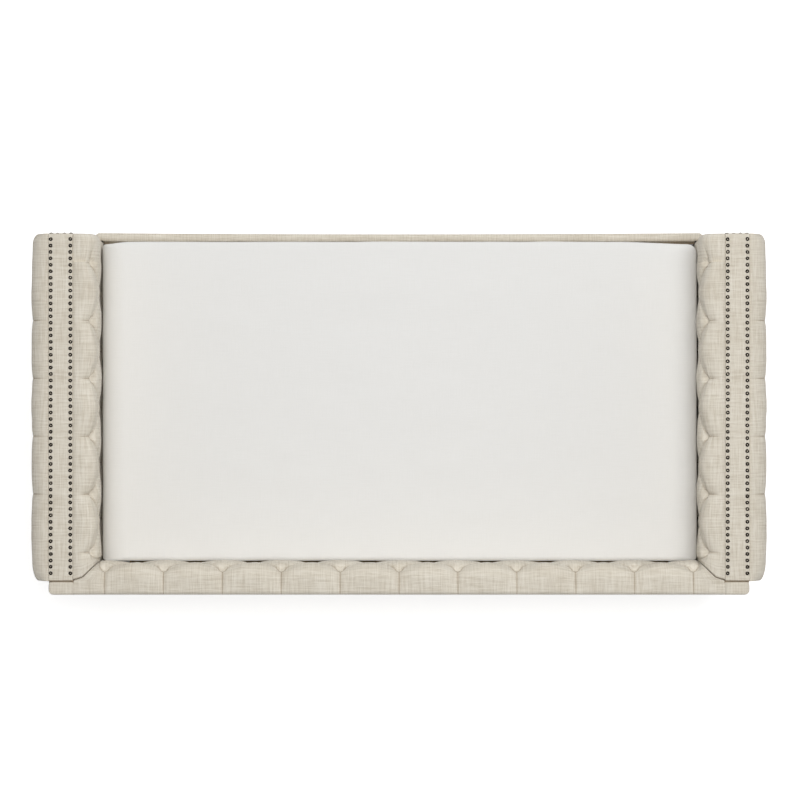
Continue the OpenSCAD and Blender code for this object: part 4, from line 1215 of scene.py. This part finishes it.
def arm_roll():
    """The right arm's roll: its columns of points, their places on the flat cloth and the painted shade in
    its pleats.
    """
    turns = np.radians(np.linspace(90, flute_turns[0], roll_turns))
    backs = np.radians(np.linspace(flute_turns[0], 90, core_turns))
    y0, y1 = roll_low[1], roll_high[1]
    near = near_r * (1 - np.cos(np.linspace(0, np.pi / 2, 11)))[:-1]
    far = far_r * (1 - np.cos(np.linspace(0, np.pi / 2, 13)))[:-1]
    pleats = y0 + (y1 - y0) * np.arange(3, arm_halves - 2, 2)[:, None] / arm_halves
    pleats = pleats + slit_half * np.arange(-1, 2)
    ys = np.concatenate([y0 + near, np.linspace(y0 + near_r, y1 - far_r, roll_stations), y1 - far[::-1]])
    ys = ys[np.abs(ys[:, None] - pleats[:, 1]).min(axis=1) > 1.5 * slit_half]
    ys = np.sort(np.concatenate([ys, pleats.ravel()]))
    t = (ys - y0) / (y1 - y0) * arm_halves
    y, a = ys[:, None], turns[None, :]
    lobes = np.where((t > 2) & (t < arm_halves - 2), swell(off_line(t + 1), flute_power), 1)
    lobes = lobes * swell(t / front_halves, end_power) * swell((arm_halves - t) / rear_halves, end_power)
    waves = lobes[:, None] * np.interp(np.degrees(a), flute_turns, flute_depths) * flute
    waves = waves + roll_wrinkle * soft_noise(y + 0 * a, a * roll_r + 0 * y, roll_wrinkle_cell, roll_seed)
    ends = np.minimum(gathered(y - y0, near_r), gathered(y1 - y, far_r))
    ends = 1 - (1 - ends) * np.interp(np.abs(np.degrees(turns)), gather_turns, (1, 0))
    reach = core_reach + (roll_r - core_reach + waves) * ends
    core_r = core_reach - core_clear
    y_core = y0 + core_ends[0], y1 - core_ends[1]
    columns = np.concatenate([ring(reach, a, y), ring(core_r, backs[None, :], np.clip(y, *y_core))], axis=1)

    def end_ring(share, reach_at, y_at, y_inner):
        return np.concatenate([ring(share * reach_at, turns, y_at), ring(share * core_r, backs, y_inner)])

    front = [end_ring(share, reach[0], y0 - bulge, y_core[0]) for share, bulge in end_bulges]
    rear = [end_ring(share, reach[-1], y1, y_core[1]) for share, _ in end_bulges[::-1]]
    columns = np.concatenate([np.array(front), columns, np.array(rear)])
    along = np.concatenate([y0 - end_cloth, ys, y1 + end_cloth[::-1]])
    across = np.concatenate([-turns * roll_r, core_cloth + backs * core_reach])
    pattern = np.stack(np.broadcast_arrays(across[None, :], along[:, None]), axis=-1)
    slit = 1 - np.clip(np.abs(y - pleats[:, 1]).min(axis=1) / slit_half, 0, 1)[:, None]
    fold = np.zeros(columns.shape[:2])
    fold[len(front):-len(rear), :len(turns)] = slit * np.interp(np.degrees(turns), slit_turns, slit_shades)
    return columns, pattern, fold


columns, pattern, fold = arm_roll()
for side in ("right", "left"):
    shape = columns if side == "right" else mirrored(columns)
    piece = finish_piece(loft(f"{side}_arm_pleated_roll", shape, pattern, fold), cloth)
    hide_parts(f"{side}_arm_roll")


# A flat band of folded linen runs along the top of each arm and down its front, over the edges of the
# pad and the roll. Its edges are turned under, and the nails draw it down a little.
band_crown = 0.0008
band_roll = 0.0024
nail_dent = 0.0007
nail_pitch = 0.01965
nail_in = 0.007
bend_r = 0.010
band_t = 0.006
rear_tuck = 0.006
top_nail = 0.017
first_nail = 0.018
last_nail = 0.014
dent_from = 0.004
dent_run = 0.008
top_stations = 265
front_stations = 190
cross_stations = 27


def nail_rows(sign):
    """Places and directions of the nails of one arm, and each one's place along the band."""
    low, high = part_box("right_arm_band")
    rows_x = (low[0] + nail_in, high[0] - nail_in)
    z_across = high[2] - top_nail
    top_l = high[1] - low[1] - bend_r
    bend_l = bend_r * math.pi / 2
    along_n = int((high[1] + fit - low[1] - 2 * first_nail) / nail_pitch)
    down_n = int((z_across - low[2] - last_nail) / nail_pitch)

    def on_front(x, z):
        return (sign * x, low[1], z), (0, -1, 0), (x, top_l + bend_l + high[2] - bend_r - z)

    found = []
    for x in rows_x:
        for i in range(along_n + 1):
            y = low[1] + first_nail + i * nail_pitch
            found.append(((sign * x, y, high[2]), (0, 0, 1), (x, high[1] - y)))
        found += [on_front(x, z_across - i * nail_pitch) for i in range(1, down_n + 1)]
    count = round((rows_x[1] - rows_x[0]) / nail_pitch)
    found += [on_front(rows_x[0] + i * (rows_x[1] - rows_x[0]) / count, z_across) for i in range(count + 1)]
    return found


def band_way(low, high):
    """The way along the band: distances, places along the arm, heights and how far it faces front."""
    top_l, down_l = high[1] - low[1] - bend_r, high[2] - low[2] - bend_r
    bend = np.linspace(0, np.pi / 2, 9)
    tuck = rear_tuck * (1 - np.cos(np.linspace(0, np.pi / 2, 6)))[:-1]
    s_top = np.concatenate([tuck, np.linspace(rear_tuck, top_l, top_stations)[:-1]])
    s_down = np.linspace(0, down_l, front_stations)[1:]
    y = np.concatenate([high[1] - s_top, low[1] + bend_r * (1 - np.sin(bend)), 0 * s_down + low[1]])
    z_bend = high[2] - bend_r * (1 - np.cos(bend))
    z = np.concatenate([0 * s_top + high[2], z_bend, high[2] - bend_r - s_down])
    angle = np.concatenate([0 * s_top, bend, 0 * s_down + np.pi / 2])
    s = np.concatenate([s_top, top_l + bend * bend_r, top_l + bend_r * np.pi / 2 + s_down])
    return s, y, z, angle


def band_section(width):
    """Places across the band, and how far the linen stands over or under its plane at each."""
    edge = band_roll * (1 - np.cos(np.linspace(0, np.pi / 2, 5)))
    flat = np.linspace(band_roll, width - band_roll, cross_stations)[1:-1]
    x = np.concatenate([edge, flat, width - edge[::-1]])
    near = np.minimum(x, width - x)
    fall = band_roll * (1 - np.sqrt(np.clip(1 - (1 - near / band_roll) ** 2, 0, 1)))
    fall = np.where(near >= band_roll, 0, fall)
    return x, band_crown * (1 - (2 * x / width - 1) ** 2) - fall


def arm_band():
    """The right arm's band: its columns of points, their places on the flat cloth and the painted shade where
    it tucks under at its rear.
    """
    low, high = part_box("right_arm_band")
    s, y, z, angle = band_way(low, high)
    width = high[0] - low[0]
    x, height = band_section(width)
    dent = np.zeros((len(s), len(x)))
    for _, _, (nx, ns) in nail_rows(1):
        near = np.hypot(low[0] + x[None, :] - nx, s[:, None] - ns)
        dent = np.maximum(dent, nail_dent * (1 - ease((near - dent_from) / dent_run)))
    tucked = np.clip(1 - s / rear_tuck, 0, 1)
    h = height[None, :] - dent - rear_tuck * (1 - np.sqrt(1 - tucked ** 2))[:, None]
    under = np.linspace(width, 0, 5)
    h = np.concatenate([h, np.full((len(s), 5), -band_t)], axis=1)
    xs = np.concatenate([x, under])
    out_y, out_z = -np.sin(angle)[:, None], np.cos(angle)[:, None]
    columns = np.stack([np.broadcast_to(low[0] + xs[None, :], h.shape), y[:, None] + out_y * h,
                        z[:, None] + out_z * h], axis=-1)
    across = np.concatenate([x, 2 * width - under])
    pattern = np.stack(np.broadcast_arrays(across[None, :], s[:, None]), axis=-1)
    # Painted shade: the band darkens where it tucks under at its rear end.
    fold = np.zeros(h.shape)
    fold[:] = np.clip(2 - s / rear_tuck * 3, 0, 1)[:, None]
    return columns, pattern, fold


columns, pattern, fold = arm_band()
for side in ("right", "left"):
    shape = columns if side == "right" else mirrored(columns)
    piece = finish_piece(loft(f"{side}_arm_linen_band", shape, pattern, fold), cloth)
    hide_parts(f"{side}_arm_band")


# Antique bronze nails with domed heads, driven one by one along both edges of the band and across its
# front. No two sit quite alike, and a painted highlight makes their tops a little brighter than their rims.
nail_d = 0.012
nail_h = 0.003
nail_sides = 12
nail_tilt = 0.05
nail_growth = 0.04
nail_shift = 0.0004
nail_seeds = {"right": 9, "left": 5}
highlight_r = 0.0015
highlight_core = 0.4
nail_profile = [(1.0, 0.0), (1.0, 0.10), (0.86, 0.52), (0.5, 0.90), (0.16, 1.0)]
bronze_dark = (0.014, 0.012, 0.010)
bronze_brown = (0.040, 0.034, 0.028)
bronze_painted_highlight = (0.27, 0.235, 0.19)
bronze_edge = (0.10, 0.09, 0.08)
bronze_rough = (0.26, 0.36)
patina_noise = (300.0, 3.0)
patina_brown = (0.42, 0.72)
patina_rough = (0.3, 0.7)
patina_depth = 0.00008


def antique_bronze():
    material, tree, shader = new_material("antique_bronze")
    place = (node(tree, "ShaderNodeTexCoord"), "Object")
    patina = noise(tree, place, *patina_noise)
    brown = blend_colours(tree, level(tree, patina, *patina_brown), bronze_dark, bronze_brown)
    # Painted highlight: the middle of each dome is lighter, where the softbox overhead would be reflected.
    flat = node(tree, "ShaderNodeUVMap", uv_map="flat_pattern")
    out = node(tree, "ShaderNodeVectorMath", operation="LENGTH")
    wire(tree, flat, 0, out, 0)
    painted_highlight = level(tree, (out, "Value"), highlight_r * highlight_core, highlight_r, 1, 0)
    colour = blend_colours(tree, painted_highlight, bronze_dark, bronze_painted_highlight)
    wire(tree, brown[0], 2, colour[0], 6)
    wire(tree, colour[0], 2, shader, "Base Color")
    rough = level(tree, patina, *patina_rough, *bronze_rough)
    wire(tree, rough[0], 0, shader, "Roughness")
    shader.inputs["Metallic"].default_value = 1.0
    shader.inputs["Specular Tint"].default_value = (*bronze_edge, 1)
    bump(tree, shader, patina, patina_depth)
    return material


bronze = antique_bronze()
nail = turned_solid("nail", nail_profile, nail_sides, nail_d, nail_h)
for side, sign in (("right", 1), ("left", -1)):
    places, aims, _ = zip(*nail_rows(sign))
    piece = spread(f"{side}_arm_nail_heads", nail, places, aims, bronze, nail_tilt, nail_growth, nail_shift,
                   nail_seeds[side])
    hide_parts(f"{side}_arm_nails")


# Plain linen over thin wadding closes the rest: the outsides of the arms below the rolls, the arms below
# the tufting and round their fronts, and the whole rear of the back with a cap behind each arm.
cover_crown = 0.0012
crown_power = 6
cover_r = 0.012
cover_edge = 0.002
cover_steps = 60
outside_edge, outside_cell = 0.0022, 0.02
lower_t, lower_cell = 0.0047, 0.012
rear_t, rear_cell = 0.0077, 0.015
lining_cuts = (0.01, 0.3, 0.6)
cap_edge, cap_cell = 0.007, 0.012
cap_plan_r = 0.015
cap_over = 0.03
cap_slit = 0.004


def wrapped_cover(name, path, low_z, high_z, thick, cell, crown=0.0):
    """A cover that stands on a path in plan, with its outside to the right of the way along it."""
    path = np.array(path, float)
    way = np.gradient(path, axis=0)
    way /= np.linalg.norm(way, axis=1)[:, None]
    normal = np.stack([way[:, 1], -way[:, 0]], axis=1)
    e = min(cover_edge, thick / 2.01)
    arc = np.linspace(0, np.pi / 2, 5)
    inner = np.linspace(low_z + e, high_z - e, max(2, int((high_z - low_z) / cell)))
    z = np.concatenate([low_z + e * (1 - np.sin(arc[::-1]))[:-1], inner, high_z - e + e * np.sin(arc)[1:]])
    out = np.concatenate([-e * (1 - np.cos(arc[::-1]))[:-1], 0 * inner, -e * (1 - np.cos(arc))[1:]])
    bulge = crown * (1 - (2 * (z - low_z) / (high_z - low_z) - 1) ** crown_power)
    h = np.concatenate([out + bulge, [-thick] * 3])
    zs = np.concatenate([z, [high_z, (low_z + high_z) / 2, low_z]])
    spot = path[:, None, :] + normal[:, None, :] * h[None, :, None]
    columns = np.concatenate([spot, np.broadcast_to(zs[None, :, None], (*spot.shape[:2], 1))], axis=2)
    length = np.concatenate([[0], np.cumsum(np.linalg.norm(np.diff(path, axis=0), axis=1))])
    across = np.concatenate([z, high_z + np.array(lining_cuts)])
    pattern = np.stack(np.broadcast_arrays(length[:, None], across[None, :]), axis=-1)
    return loft(name, columns, pattern)


def corner(x, y, r, start, end):
    """Points round a corner in plan, about its centre."""
    return [(x + r * math.cos(a), y + r * math.sin(a)) for a in np.radians(np.linspace(start, end, 8))]


def line(a, b, n):
    return [(a[0] + (b[0] - a[0]) * f, a[1] + (b[1] - a[1]) * f) for f in np.linspace(0, 1, n)]


for side, sign in (("right", 1), ("left", -1)):
    low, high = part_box(f"{side}_arm_outside_cover")
    mesh = soft_block(f"{side}_arm_outside_panel", low, high, outside_edge, outside_cell,
                      crown=sign * cover_crown)
    piece = finish_piece(mesh, cloth)
    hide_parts(f"{side}_arm_outside_cover")

    low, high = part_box("right_arm_lower_cover")
    x0, y0, x1, y1 = low[0], low[1], high[0], high[1]
    path = line((x1, y0), (x0 + cover_r, y0), 4)[:-1] + corner(x0 + cover_r, y0 + cover_r, cover_r, -90, -180)
    path += line((x0, y0 + cover_r), (x0, y1), cover_steps)[1:]
    path = [(sign * x, y) for x, y in path]
    mesh = wrapped_cover(f"{side}_arm_lower_panel", path if sign < 0 else path[::-1], low[2], high[2],
                         lower_t, lower_cell)
    piece = finish_piece(mesh, cloth)
    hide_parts(f"{side}_arm_lower_cover")

low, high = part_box("back_outside_cover")
x1, y0, y1 = high[0], low[1], high[1]
half = line((x1, y0), (x1, y1 - cover_r), 5)[:-1] + corner(x1 - cover_r, y1 - cover_r, cover_r, 0, 90)
half += line((x1 - cover_r, y1), (0, y1), cover_steps)[1:]
path = half + [(-x, y) for x, y in half[::-1]][1:]
mesh = wrapped_cover("back_outside_panel", path, low[2], high[2], rear_t, rear_cell, cover_crown / 4)
piece = finish_piece(mesh, cloth)
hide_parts("back_outside_cover")

cap_low, cap_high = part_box("back_end_caps")


def end_cap(side, sign):
    """One end cap: a rounded block, cut off flat where the back's pad begins, darkened with painted shade
    along its slit.
    """
    x_in, x_out = pad_high[0] - fit / 2, cap_high[0]
    mesh = soft_block(f"{side}_back_end_cap", (x_in - cap_over, *cap_low[1:]), (x_out, *cap_high[1:]),
                      cap_edge, cap_cell, plan_r=cap_plan_r)
    work = bmesh.new()
    work.from_mesh(mesh)
    cut = bmesh.ops.bisect_plane(work, geom=[*work.verts, *work.edges, *work.faces], plane_co=(x_in, 0, 0),
                                 plane_no=(-1, 0, 0), clear_outer=True)
    rim = [edge for edge in cut["geom_cut"] if isinstance(edge, bmesh.types.BMEdge)]
    bmesh.ops.contextual_create(work, geom=rim)
    if sign < 0:
        bmesh.ops.scale(work, vec=(-1, 1, 1), verts=work.verts)
    slit = work.verts.layers.float.new("fold")
    for vert in work.verts:
        vert[slit] = max(0.0, 1 - (vert.co.y - cap_low[1]) / cap_slit)
    work.to_mesh(mesh)
    work.free()
    return mesh


for side, sign in (("right", 1), ("left", -1)):
    piece = finish_piece(end_cap(side, sign), cloth)
    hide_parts("back_end_caps")


# The front rail: linen over wadding on the pine board, closed behind it with a return at top and bottom.
# The padded face laps over the front of each arm, and bows in a little towards the middle.
rail_bow = 0.004
rail_t = 0.034
crest_power = 2.1
face_puff = 0.002
# Painted shade: the rail's inner roll-off and its back are darkened as in the shade of the gap by the
# mattress, more towards its ends.
rail_shade = (0.42, 1.0)
dark_from = {-1: (0.72, 0.14), 1: (0.905, 0.03)}
cover_return = 0.020
board_gap = 0.006
face_steps, rail_stations = 26, 60
toe_r = 0.012
heel_r = 0.006
heel_in = 0.018
lap_in = 0.0237
dark_turn, dark_run = 105, 60
corner_fall = 0.35
fall_above, fall_run = 0.34, 0.035
rise_below, rise_run = 0.22, 0.03


def rail_loops():
    """The rail's section and the lap's, where its face and its inner side are, and its painted shade."""
    low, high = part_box("rail_cover")
    board_low, board_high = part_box("rail_board")
    r = rail_t / 2
    turn = np.linspace(0, np.pi, 19)
    foot = np.linspace(-np.pi / 2, 0, 6)
    z = np.linspace(low[2] + toe_r, high[2] - r, face_steps)
    y_out = low[1] - face_puff
    face = [(y_out + toe_r * (1 - math.cos(a)), low[2] + toe_r * (1 + math.sin(a))) for a in foot[:-1]]
    face += [(y_out - face_puff / 2 * math.sin(math.pi * (v - z[0]) / (z[-1] - z[0])), v) for v in z]
    over = [(y_out + (rail_t + face_puff) * (0.5 - 0.5 * math.cos(a)) ** crest_power,
             high[2] - r + r * math.sin(a)) for a in turn[1:]]
    y_in, y_board, y_face = high[1], board_high[1], board_low[1]
    back = [(y_in, v) for v in np.linspace(high[2] - r, high[2] - board_gap - cover_return, 4)[1:]]
    inside = [(y_board, back[-1][1]), (y_board, board_high[2]), (y_face, board_high[2]),
              (y_face, board_low[2]), (y_board, board_low[2]), (y_board, low[2] + board_gap + cover_return)]
    heel = [(y_in, low[2] + board_gap + cover_return), (y_in, low[2] + heel_r),
            (y_in - heel_r / 3, low[2] + heel_r / 3), (y_board, low[2]), (low[1] + heel_in, low[2])]
    whole = np.array(face + over + back + inside + heel)
    y_lap = low[1] + lap_in
    lap = whole.copy()
    lap[:, 0] = np.minimum(lap[:, 0], y_lap)
    i0 = len(face) + len(over) + len(back)
    lap[i0:i0 + len(inside), 0] = y_lap
    lap[i0:i0 + len(inside), 1] = np.linspace(back[-1][1], heel[0][1], len(inside) + 2)[1:-1]
    shade = np.zeros(len(whole))
    shade[len(face):len(face) + len(over)] = ease((np.degrees(turn[1:]) - dark_turn) / dark_run)
    shade[len(face) + len(over):i0] = 1
    return whole, lap, y_out, y_lap, shade


def rail_skin():
    """The rail's cover from end to end: its columns of points, their places on the flat cloth and its painted
    shade.
    """
    whole, lap, y_face, y_lap, shade = rail_loops()
    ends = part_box("rail_board")[1][0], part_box("rail_cover")[1][0]
    arc = np.linspace(0, np.pi / 2, 8)
    half = [(x, whole, 0.0) for x in np.linspace(0, ends[0], rail_stations)]
    half += [(x, lap, 0.0) for x in np.linspace(ends[0], ends[1] - cover_r, 5)]
    half += [(ends[1] - cover_r + cover_r * math.sin(a), lap, cover_r * (1 - math.cos(a))) for a in arc[1:]]
    stations = [(-x, loop, back) for x, loop, back in half[::-1]][:-1] + half
    length = np.concatenate([[0], np.cumsum(np.linalg.norm(np.diff(whole, axis=0), axis=1))])
    columns, pattern, fold = [], [], []
    for x, loop, back in stations:
        deep = ease((y_lap - loop[:, 0]) / (y_lap - y_face))
        bow = rail_bow * (1 - (x / ends[1]) ** 2) * deep
        y = np.minimum(loop[:, 0] + bow + back * deep, np.maximum(loop[:, 0], y_lap))
        fall = corner_fall * back
        z = loop[:, 1] - fall * ease((loop[:, 1] - fall_above) / fall_run)
        z = z + fall * ease((rise_below - loop[:, 1]) / rise_run)
        columns.append(np.stack([np.full(len(loop), x), y, z], axis=1))
        pattern.append(np.stack([np.full(len(loop), x), length], axis=1))
        start, run = dark_from[1 if x > 0 else -1]
        fold.append(shade * np.interp(ease((abs(x) - start) / run), [0, 1], rail_shade))
    return np.array(columns), np.array(pattern), np.array(fold)


columns, pattern, fold = rail_skin()
piece = finish_piece(loft("rail_padded_cover", columns, pattern, fold), cloth)
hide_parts("rail_cover")


# The mattress: foam in a plain white ticking, with rounded edges. Only its bottom shows, between the
# slats, because a fitted cotton sheet is drawn over it.
ticking_white = (0.74, 0.73, 0.70)
ticking_shade = (0.60, 0.59, 0.56)
ticking_rough = 0.85
ticking_depth = 0.0003
twill_scale = 240.0
ticking_clouds = (14.0, 2.0)
mattress_edge, mattress_cell = 0.040, 0.03
mattress_corner = 0.055


def ticking():
    material, tree, shader = new_material("white_ticking")
    place = (node(tree, "ShaderNodeTexCoord"), "Object")
    twill = node(tree, "ShaderNodeTexWave", wave_type="BANDS", bands_direction="DIAGONAL")
    twill.inputs["Scale"].default_value = twill_scale
    tree.links.new(place[0].outputs[place[1]], twill.inputs["Vector"])
    clouds = noise(tree, place, *ticking_clouds)
    mix = maths(tree, "MULTIPLY_ADD", (twill, 1), 0.5, maths(tree, "MULTIPLY", clouds, 0.5))
    colour = blend_colours(tree, mix, ticking_shade, ticking_white)
    wire(tree, colour[0], 2, shader, "Base Color")
    shader.inputs["Roughness"].default_value = ticking_rough
    bump(tree, shader, (twill, 1), ticking_depth)
    return material


low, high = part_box("mattress")
mesh = soft_block("foam_mattress", low, high, mattress_edge, mattress_cell, plan_r=mattress_corner)
mattress = finish_piece(mesh, ticking())
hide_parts("mattress")


# A fitted sheet of white cotton percale covers the mattress and is drawn tight round its edges, with an
# elastic hem turned under and gathers at the corners. It swells over the rail's rounded top.
cotton = (0.80, 0.795, 0.78)
cotton_shade = (0.765, 0.76, 0.74)
sheet_corners = (0.016, 0.016, 0.032, 0.014)
tight_corner = 0.006
front_bulge = 0.0045
rear_bulge = 0.003
hem_steps = [(0.022, 0.001), (0.012, 0.0005), (0.0085, 0.003), (0.0065, 0.009)]
corner_steps = 28
corner_gather = 0.0016
sheet_crown = 0.006
shoulder_runs = {"left": 0.082, "rear": 0.016, "right": 0.044, "front": 0.034}
shoulder_blend = 2.5
shoulder_drops = {"left": 0.057, "rear": 0.014, "right": 0.017, "front": 0.014}
side_in = 0.006
side_gap = 0.001
front_slack = {-1: (0.008, 0.70, 0.21), 1: (0.008, 0.86, 0.07)}
slack_from = 0.15
slack_run = 0.12
side_shoulder = 0.02
hem_rise = 0.016
flare_climb = 1.6
gather_climb = 1.3
bulge_z, bulge_run = 0.125, 0.05
sway, sway_cell = 0.0008, 0.09
ripple, ripple_cells = 0.0009, (0.11, 0.05)
ripple_stretch = 0.4
gather_phase = 2.1
gather_reach = 2.5
drift_seed, ripple_seeds = 31, (41, 43)
ripple_fade = 6
side_counts = (60, 110, 60, 110)
side_rings = 14
shoulder_rings = 14
top_rings = 68
percale_threads = 700.0
percale_span = (0.7, 1.3)
percale_depth = 0.00015
percale_rough = 0.8
percale_specular = 0.3
percale_sheen = 0.05


def percale():
    material, tree, shader = new_material("white_percale")
    pattern = node(tree, "ShaderNodeUVMap", uv_map="flat_pattern")
    split = node(tree, "ShaderNodeSeparateXYZ")
    wire(tree, pattern, 0, split, 0)
    warp = threads(tree, (split, 0), (split, 1), percale_threads, 0.0)
    weft = threads(tree, (split, 1), (split, 0), percale_threads, 5.0)
    both = maths(tree, "ADD", warp, weft)
    colour = blend_colours(tree, level(tree, both, *percale_span), cotton_shade, cotton)
    wire(tree, colour[0], 2, shader, "Base Color")
    bump(tree, shader, both, percale_depth)
    shader.inputs["Roughness"].default_value = percale_rough
    shader.inputs["Specular IOR Level"].default_value = percale_specular
    shader.inputs["Sheen Weight"].default_value = percale_sheen
    return material


def around(lows, highs, radii, counts):
    """Points round a rectangle with rounded corners, with their normals."""
    marks = np.array([(1, 1), (-1, 1), (-1, -1), (1, -1)])
    centres = np.where(marks > 0, highs, lows) - radii[:, None] * marks
    spots, normals = [], []
    for i, n in enumerate(counts):
        facing = np.pi / 2 * i
        normal = np.array([math.cos(facing), math.sin(facing)])
        start, end = centres[i - 1] + normal * radii[i - 1], centres[i] + normal * radii[i]
        spots += [start + (end - start) * f for f in np.arange(n) / n]
        normals += [normal] * n
        for a in facing + np.pi / 2 * np.arange(corner_steps) / corner_steps:
            turned = np.array([math.cos(a), math.sin(a)])
            spots.append(centres[i] + turned * radii[i])
            normals.append(turned)
    return np.array(spots), np.array(normals)


sheet_low, sheet_high = (np.array(c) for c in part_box("fitted_sheet"))
sheet_middle = (sheet_low + sheet_high) / 2
sheet_half = ((sheet_high - sheet_low) / 2)[:2] - (side_gap, 0)
z_brim = sheet_high[2] - sheet_crown
z_side = z_brim - side_shoulder
shoulder_run = np.array([shoulder_runs[side] for side in ("left", "rear", "right", "front")])
shoulder_drop = np.array([shoulder_drops[side] for side in ("left", "rear", "right", "front")])


def shoulder_fall(spots):
    """How far the sheet has fallen at its spots in plan, from the shoulders they are near."""
    near = np.hstack([sheet_half - spots, sheet_half + spots])
    away = np.clip(1 - near / shoulder_run, 0, 1)
    each = shoulder_drop * (1 - np.sqrt(1 - away ** 2))
    return (each ** shoulder_blend).sum(axis=1) ** (1 / shoulder_blend)


def side_ring_steps():
    """The rings from hem to brim: how far out, how high, how gathered, and how far up the side.

    A ring without a height lies on the shoulders."""
    rings = [(-inward, sheet_low[2] + up, 1.0, 0) for inward, up in hem_steps]
    for f in np.linspace(0, 1, side_rings):
        z = sheet_low[2] + hem_rise + (z_side - sheet_low[2] - hem_rise) * f
        out = -side_in * (1 - math.sin(math.pi / 2 * min(1, f * flare_climb)))
        rings.append((out, z, max(0.0, 1 - gather_climb * f), f))
    for a in np.linspace(0, np.pi / 2, shoulder_rings + 1)[1:]:
        rings.append((-shoulder_run * (1 - math.cos(a)), None, 0.0, 1))
    return rings


def side_columns():
    """The sheet's sides and shoulders: rings of points and their places on the flat cloth."""
    edge_fall = shoulder_fall(around(-sheet_half, sheet_half, np.array(sheet_corners), side_counts)[0])
    wrinkle = np.sin(np.arange(len(edge_fall)) * gather_phase)
    columns, pattern = [], []
    for out, z, gathers, climb in side_ring_steps():
        outs = np.broadcast_to(out, 4)
        radii = np.maximum(np.array(sheet_corners) + (outs + np.roll(outs, -1)) / 2, tight_corner)
        p, normal = around(-sheet_half - outs[2:], sheet_half + outs[:2], radii, side_counts)
        share = np.clip(normal @ np.array([[1, 0, -1, 0], [0, 1, 0, -1]]), 0, 1) ** 2
        if z is None:
            z = z_brim - shoulder_fall(p)
        else:
            z = z + (z_brim - edge_fall - z_side) * climb
        cornered = np.minimum(np.abs(normal[:, 0]), np.abs(normal[:, 1])) * math.sqrt(2)
        swelling = np.exp(-((z - sheet_low[2] - bulge_z) / bulge_run) ** 2)
        bulge = np.where(normal[:, 1] < 0, front_bulge, rear_bulge) * swelling * np.abs(normal[:, 1]) ** 4
        bulge = np.minimum(bulge, share @ -outs)
        gather = corner_gather * wrinkle * ease(cornered * gather_reach) * gathers
        drift = sway * soft_noise(p[:, 0] + 3, p[:, 1] + z + 3, sway_cell, drift_seed)
        p = p + normal * (bulge + gather + drift)[:, None]
        near_front = ease((slack_from - sheet_half[1] - p[:, 1]) / slack_run)
        for end, (slack, start, length) in front_slack.items():
            p[:, 1] += slack * ease((end * p[:, 0] - start) / length) * near_front
        columns.append(np.column_stack([p + sheet_middle[:2], z]))
        pattern.append(p + normal * (z_brim - z)[:, None])
    return columns, pattern


def top_columns(brim):
    """The sheet's top, in rings that close in on its middle from the brim."""
    columns, pattern = [], []
    for f in np.linspace(1, 0, top_rings + 2)[1:-1]:
        p = brim * f
        u = np.abs(p) / np.where(p > 0, brim.max(axis=0), -brim.min(axis=0))
        crown = sheet_crown * (1 - u[:, 0] ** 4) * (1 - u[:, 1] ** 4)
        waves = soft_noise(p[:, 0] + 3, p[:, 1] + 3, ripple_cells[0], ripple_seeds[0])
        waves = waves + soft_noise(p[:, 0] * ripple_stretch + 3, p[:, 1] + 3, ripple_cells[1],
                                   ripple_seeds[1])
        z = z_brim + crown + ripple * waves * ease((1 - f) * ripple_fade)
        columns.append(np.column_stack([p + sheet_middle[:2], z]))
        pattern.append(p)
    return columns, pattern


def sheet_surface():
    """The whole sheet as one mesh, with its flat pattern."""
    columns, pattern = side_columns()
    top, top_pattern = top_columns(columns[-1][:, :2] - sheet_middle[:2])
    columns, pattern = columns + top, pattern + top_pattern
    count = len(top[0])
    points = np.concatenate(columns).tolist()
    points.append([sheet_middle[0], sheet_middle[1], sheet_high[2]])
    grid = np.arange(len(columns) * count).reshape(len(columns), count)
    quads = np.stack([grid[:-1], np.roll(grid[:-1], -1, 1), np.roll(grid[1:], -1, 1), grid[1:]], -1)
    faces = quads.reshape(-1, 4).tolist()
    last = grid[-1].tolist()
    faces += [[last[i], last[(i + 1) % count], len(points) - 1] for i in range(count)]
    mesh = bpy.data.meshes.new("cotton_fitted_sheet")
    mesh.from_pydata(points, [], faces)
    flat = np.concatenate([*pattern, [[0, 0]]])
    loops = np.empty(len(mesh.loops), int)
    mesh.loops.foreach_get("vertex_index", loops)
    layer = mesh.uv_layers.new(name="flat_pattern")
    layer.data.foreach_set("uv", flat[loops].astype(np.float32).ravel())
    return mesh


percale_cloth = percale()
sheet = finish_piece(sheet_surface(), percale_cloth)
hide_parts("fitted_sheet")


# Black cambric is stapled under the frame to keep the dust out: a strip under each arm and one under the
# back, drawn almost flat, with a hole for each foot's bolt.
cambric_black = (0.016, 0.016, 0.018)
cambric_grey = (0.040, 0.040, 0.043)
cambric_rough = 0.9
cambric_fibre = 520.0
cambric_depth = 0.0003

dress("dust_covers", mottled("black_cambric", cambric_black, cambric_grey, cambric_rough, cambric_depth,
                             (cambric_fibre, 4.0, 0.7, 0.6), (0.35, 0.7)))
